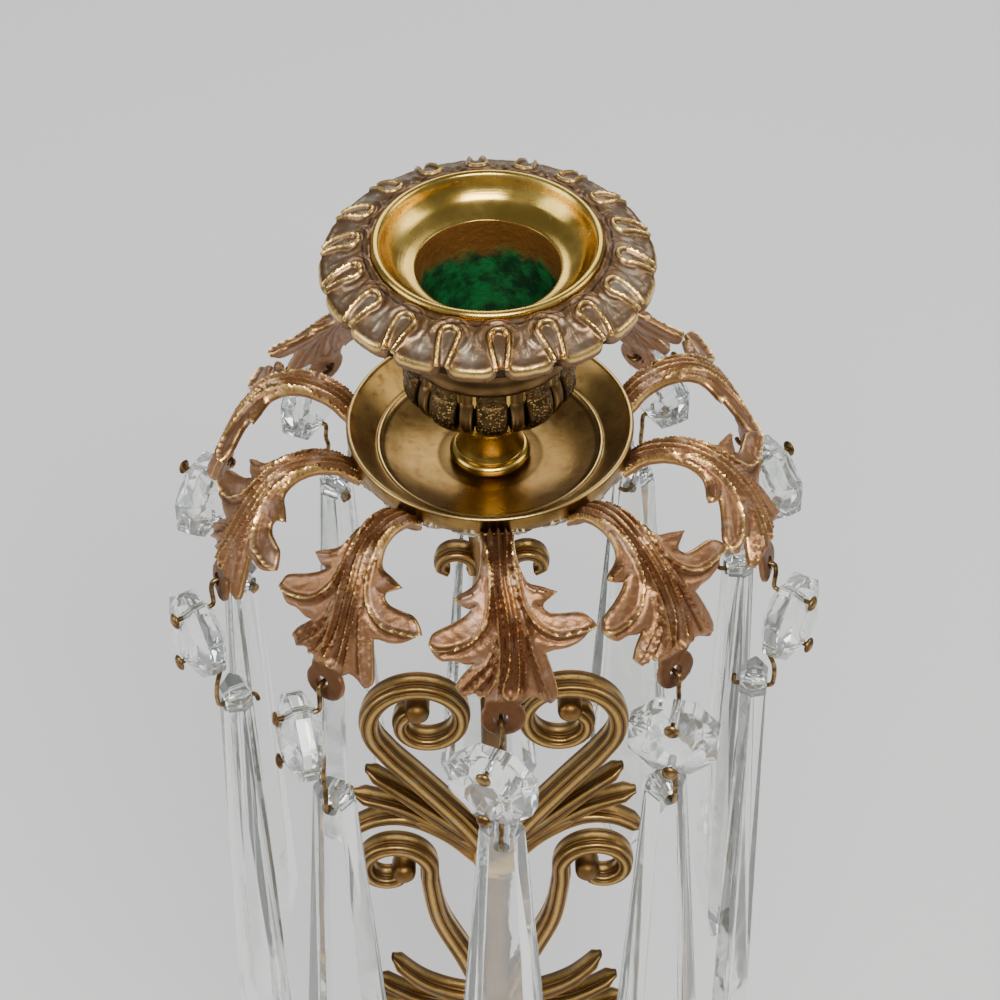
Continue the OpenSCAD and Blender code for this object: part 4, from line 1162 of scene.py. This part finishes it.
def area_light(name, place, target, width, height, power, colour=(1, 1, 1)):
    data = bpy.data.lights.new(name, "AREA")
    data.shape = "RECTANGLE"
    data.size, data.size_y = width, height
    data.energy = power
    data.color = colour
    obj = bpy.data.objects.new(name, data)
    bpy.context.scene.collection.objects.link(obj)
    obj.location = place
    obj.rotation_euler = (Vector(target) - Vector(place)).to_track_quat("-Z", "Y").to_euler()
    return obj


def build_lights():
    heart = (0, 0, 0.28)
    area_light("window", (0.12, -1.05, 1.45), heart, 0.9, 0.42, 32, (1.0, 0.98, 0.95))
    area_light("left_soft", (-1.25, -0.25, 0.85), heart, 0.7, 0.9, 9, (0.95, 0.97, 1.0))
    area_light("right_soft", (1.2, 0.1, 0.95), heart, 0.6, 0.8, 7, (1.0, 0.97, 0.93))
    area_light("back_soft", (0.1, 1.2, 1.1), heart, 1.2, 0.6, 9)


def build_camera():
    """The view looks down at the socket from the front, a little turned and rolled."""
    pitch, turn, roll = math.radians(43.55), math.radians(0.24), math.radians(-0.56)
    ahead = Vector((math.sin(turn) * math.cos(pitch), math.cos(turn) * math.cos(pitch), -math.sin(pitch)))
    right = Vector((math.cos(turn), -math.sin(turn), 0))
    up = right.cross(ahead)
    x = right * math.cos(roll) + up * math.sin(roll)
    y = up * math.cos(roll) - right * math.sin(roll)
    data = bpy.data.cameras.new("camera")
    data.lens = 108
    data.sensor_width = 36
    obj = bpy.data.objects.new("camera", data)
    bpy.context.scene.collection.objects.link(obj)
    obj.matrix_world = Matrix(((x[0], y[0], -ahead[0], 0.0), (x[1], y[1], -ahead[1], -0.3495),
                               (x[2], y[2], -ahead[2], LIP_Z * MM + 0.2788), (0, 0, 0, 1)))
    bpy.context.scene.camera = obj


def main():
    brass = polished_brass()
    collar = patina("collar_bronze", (0.035, 0.017, 0.007), (0.21, 0.115, 0.05), (0.78, 0.52, 0.17), 0.05,
                    (0.26, 0.44), (0.30, 0.21, 0.14), 0.5, recessed=(0.40, 0.35, 0.27))
    copper = patina("leaf_copper", (0.12, 0.05, 0.018), (0.32, 0.16, 0.075), (0.86, 0.58, 0.19), 0.07, (0.28, 0.46),
                    (0.50, 0.34, 0.25), 0.55)
    bronze = patina("stem_bronze", (0.055, 0.028, 0.009), (0.22, 0.115, 0.035), (0.62, 0.40, 0.12), 0.05, (0.30, 0.48),
                    (0.34, 0.27, 0.17), 0.3)
    glass, wire, stone, metal = clear_glass(), wire_metal(), marble(), steel()
    build_nozzle(brass)
    build_collar(collar)
    build_cup(stippled_cup())
    build_foot(brass)
    build_pan(pan_brass())
    build_leaves(copper)
    build_solder(solder())
    for i in range(1, LEAVES + 1):
        build_lustre(i, glass, wire)
    build_stem(bronze)
    build_boss(brass)
    build_base(stone, bronze)
    finish_hardware(metal)
    build_stage()
    build_lights()
    build_camera()


main()
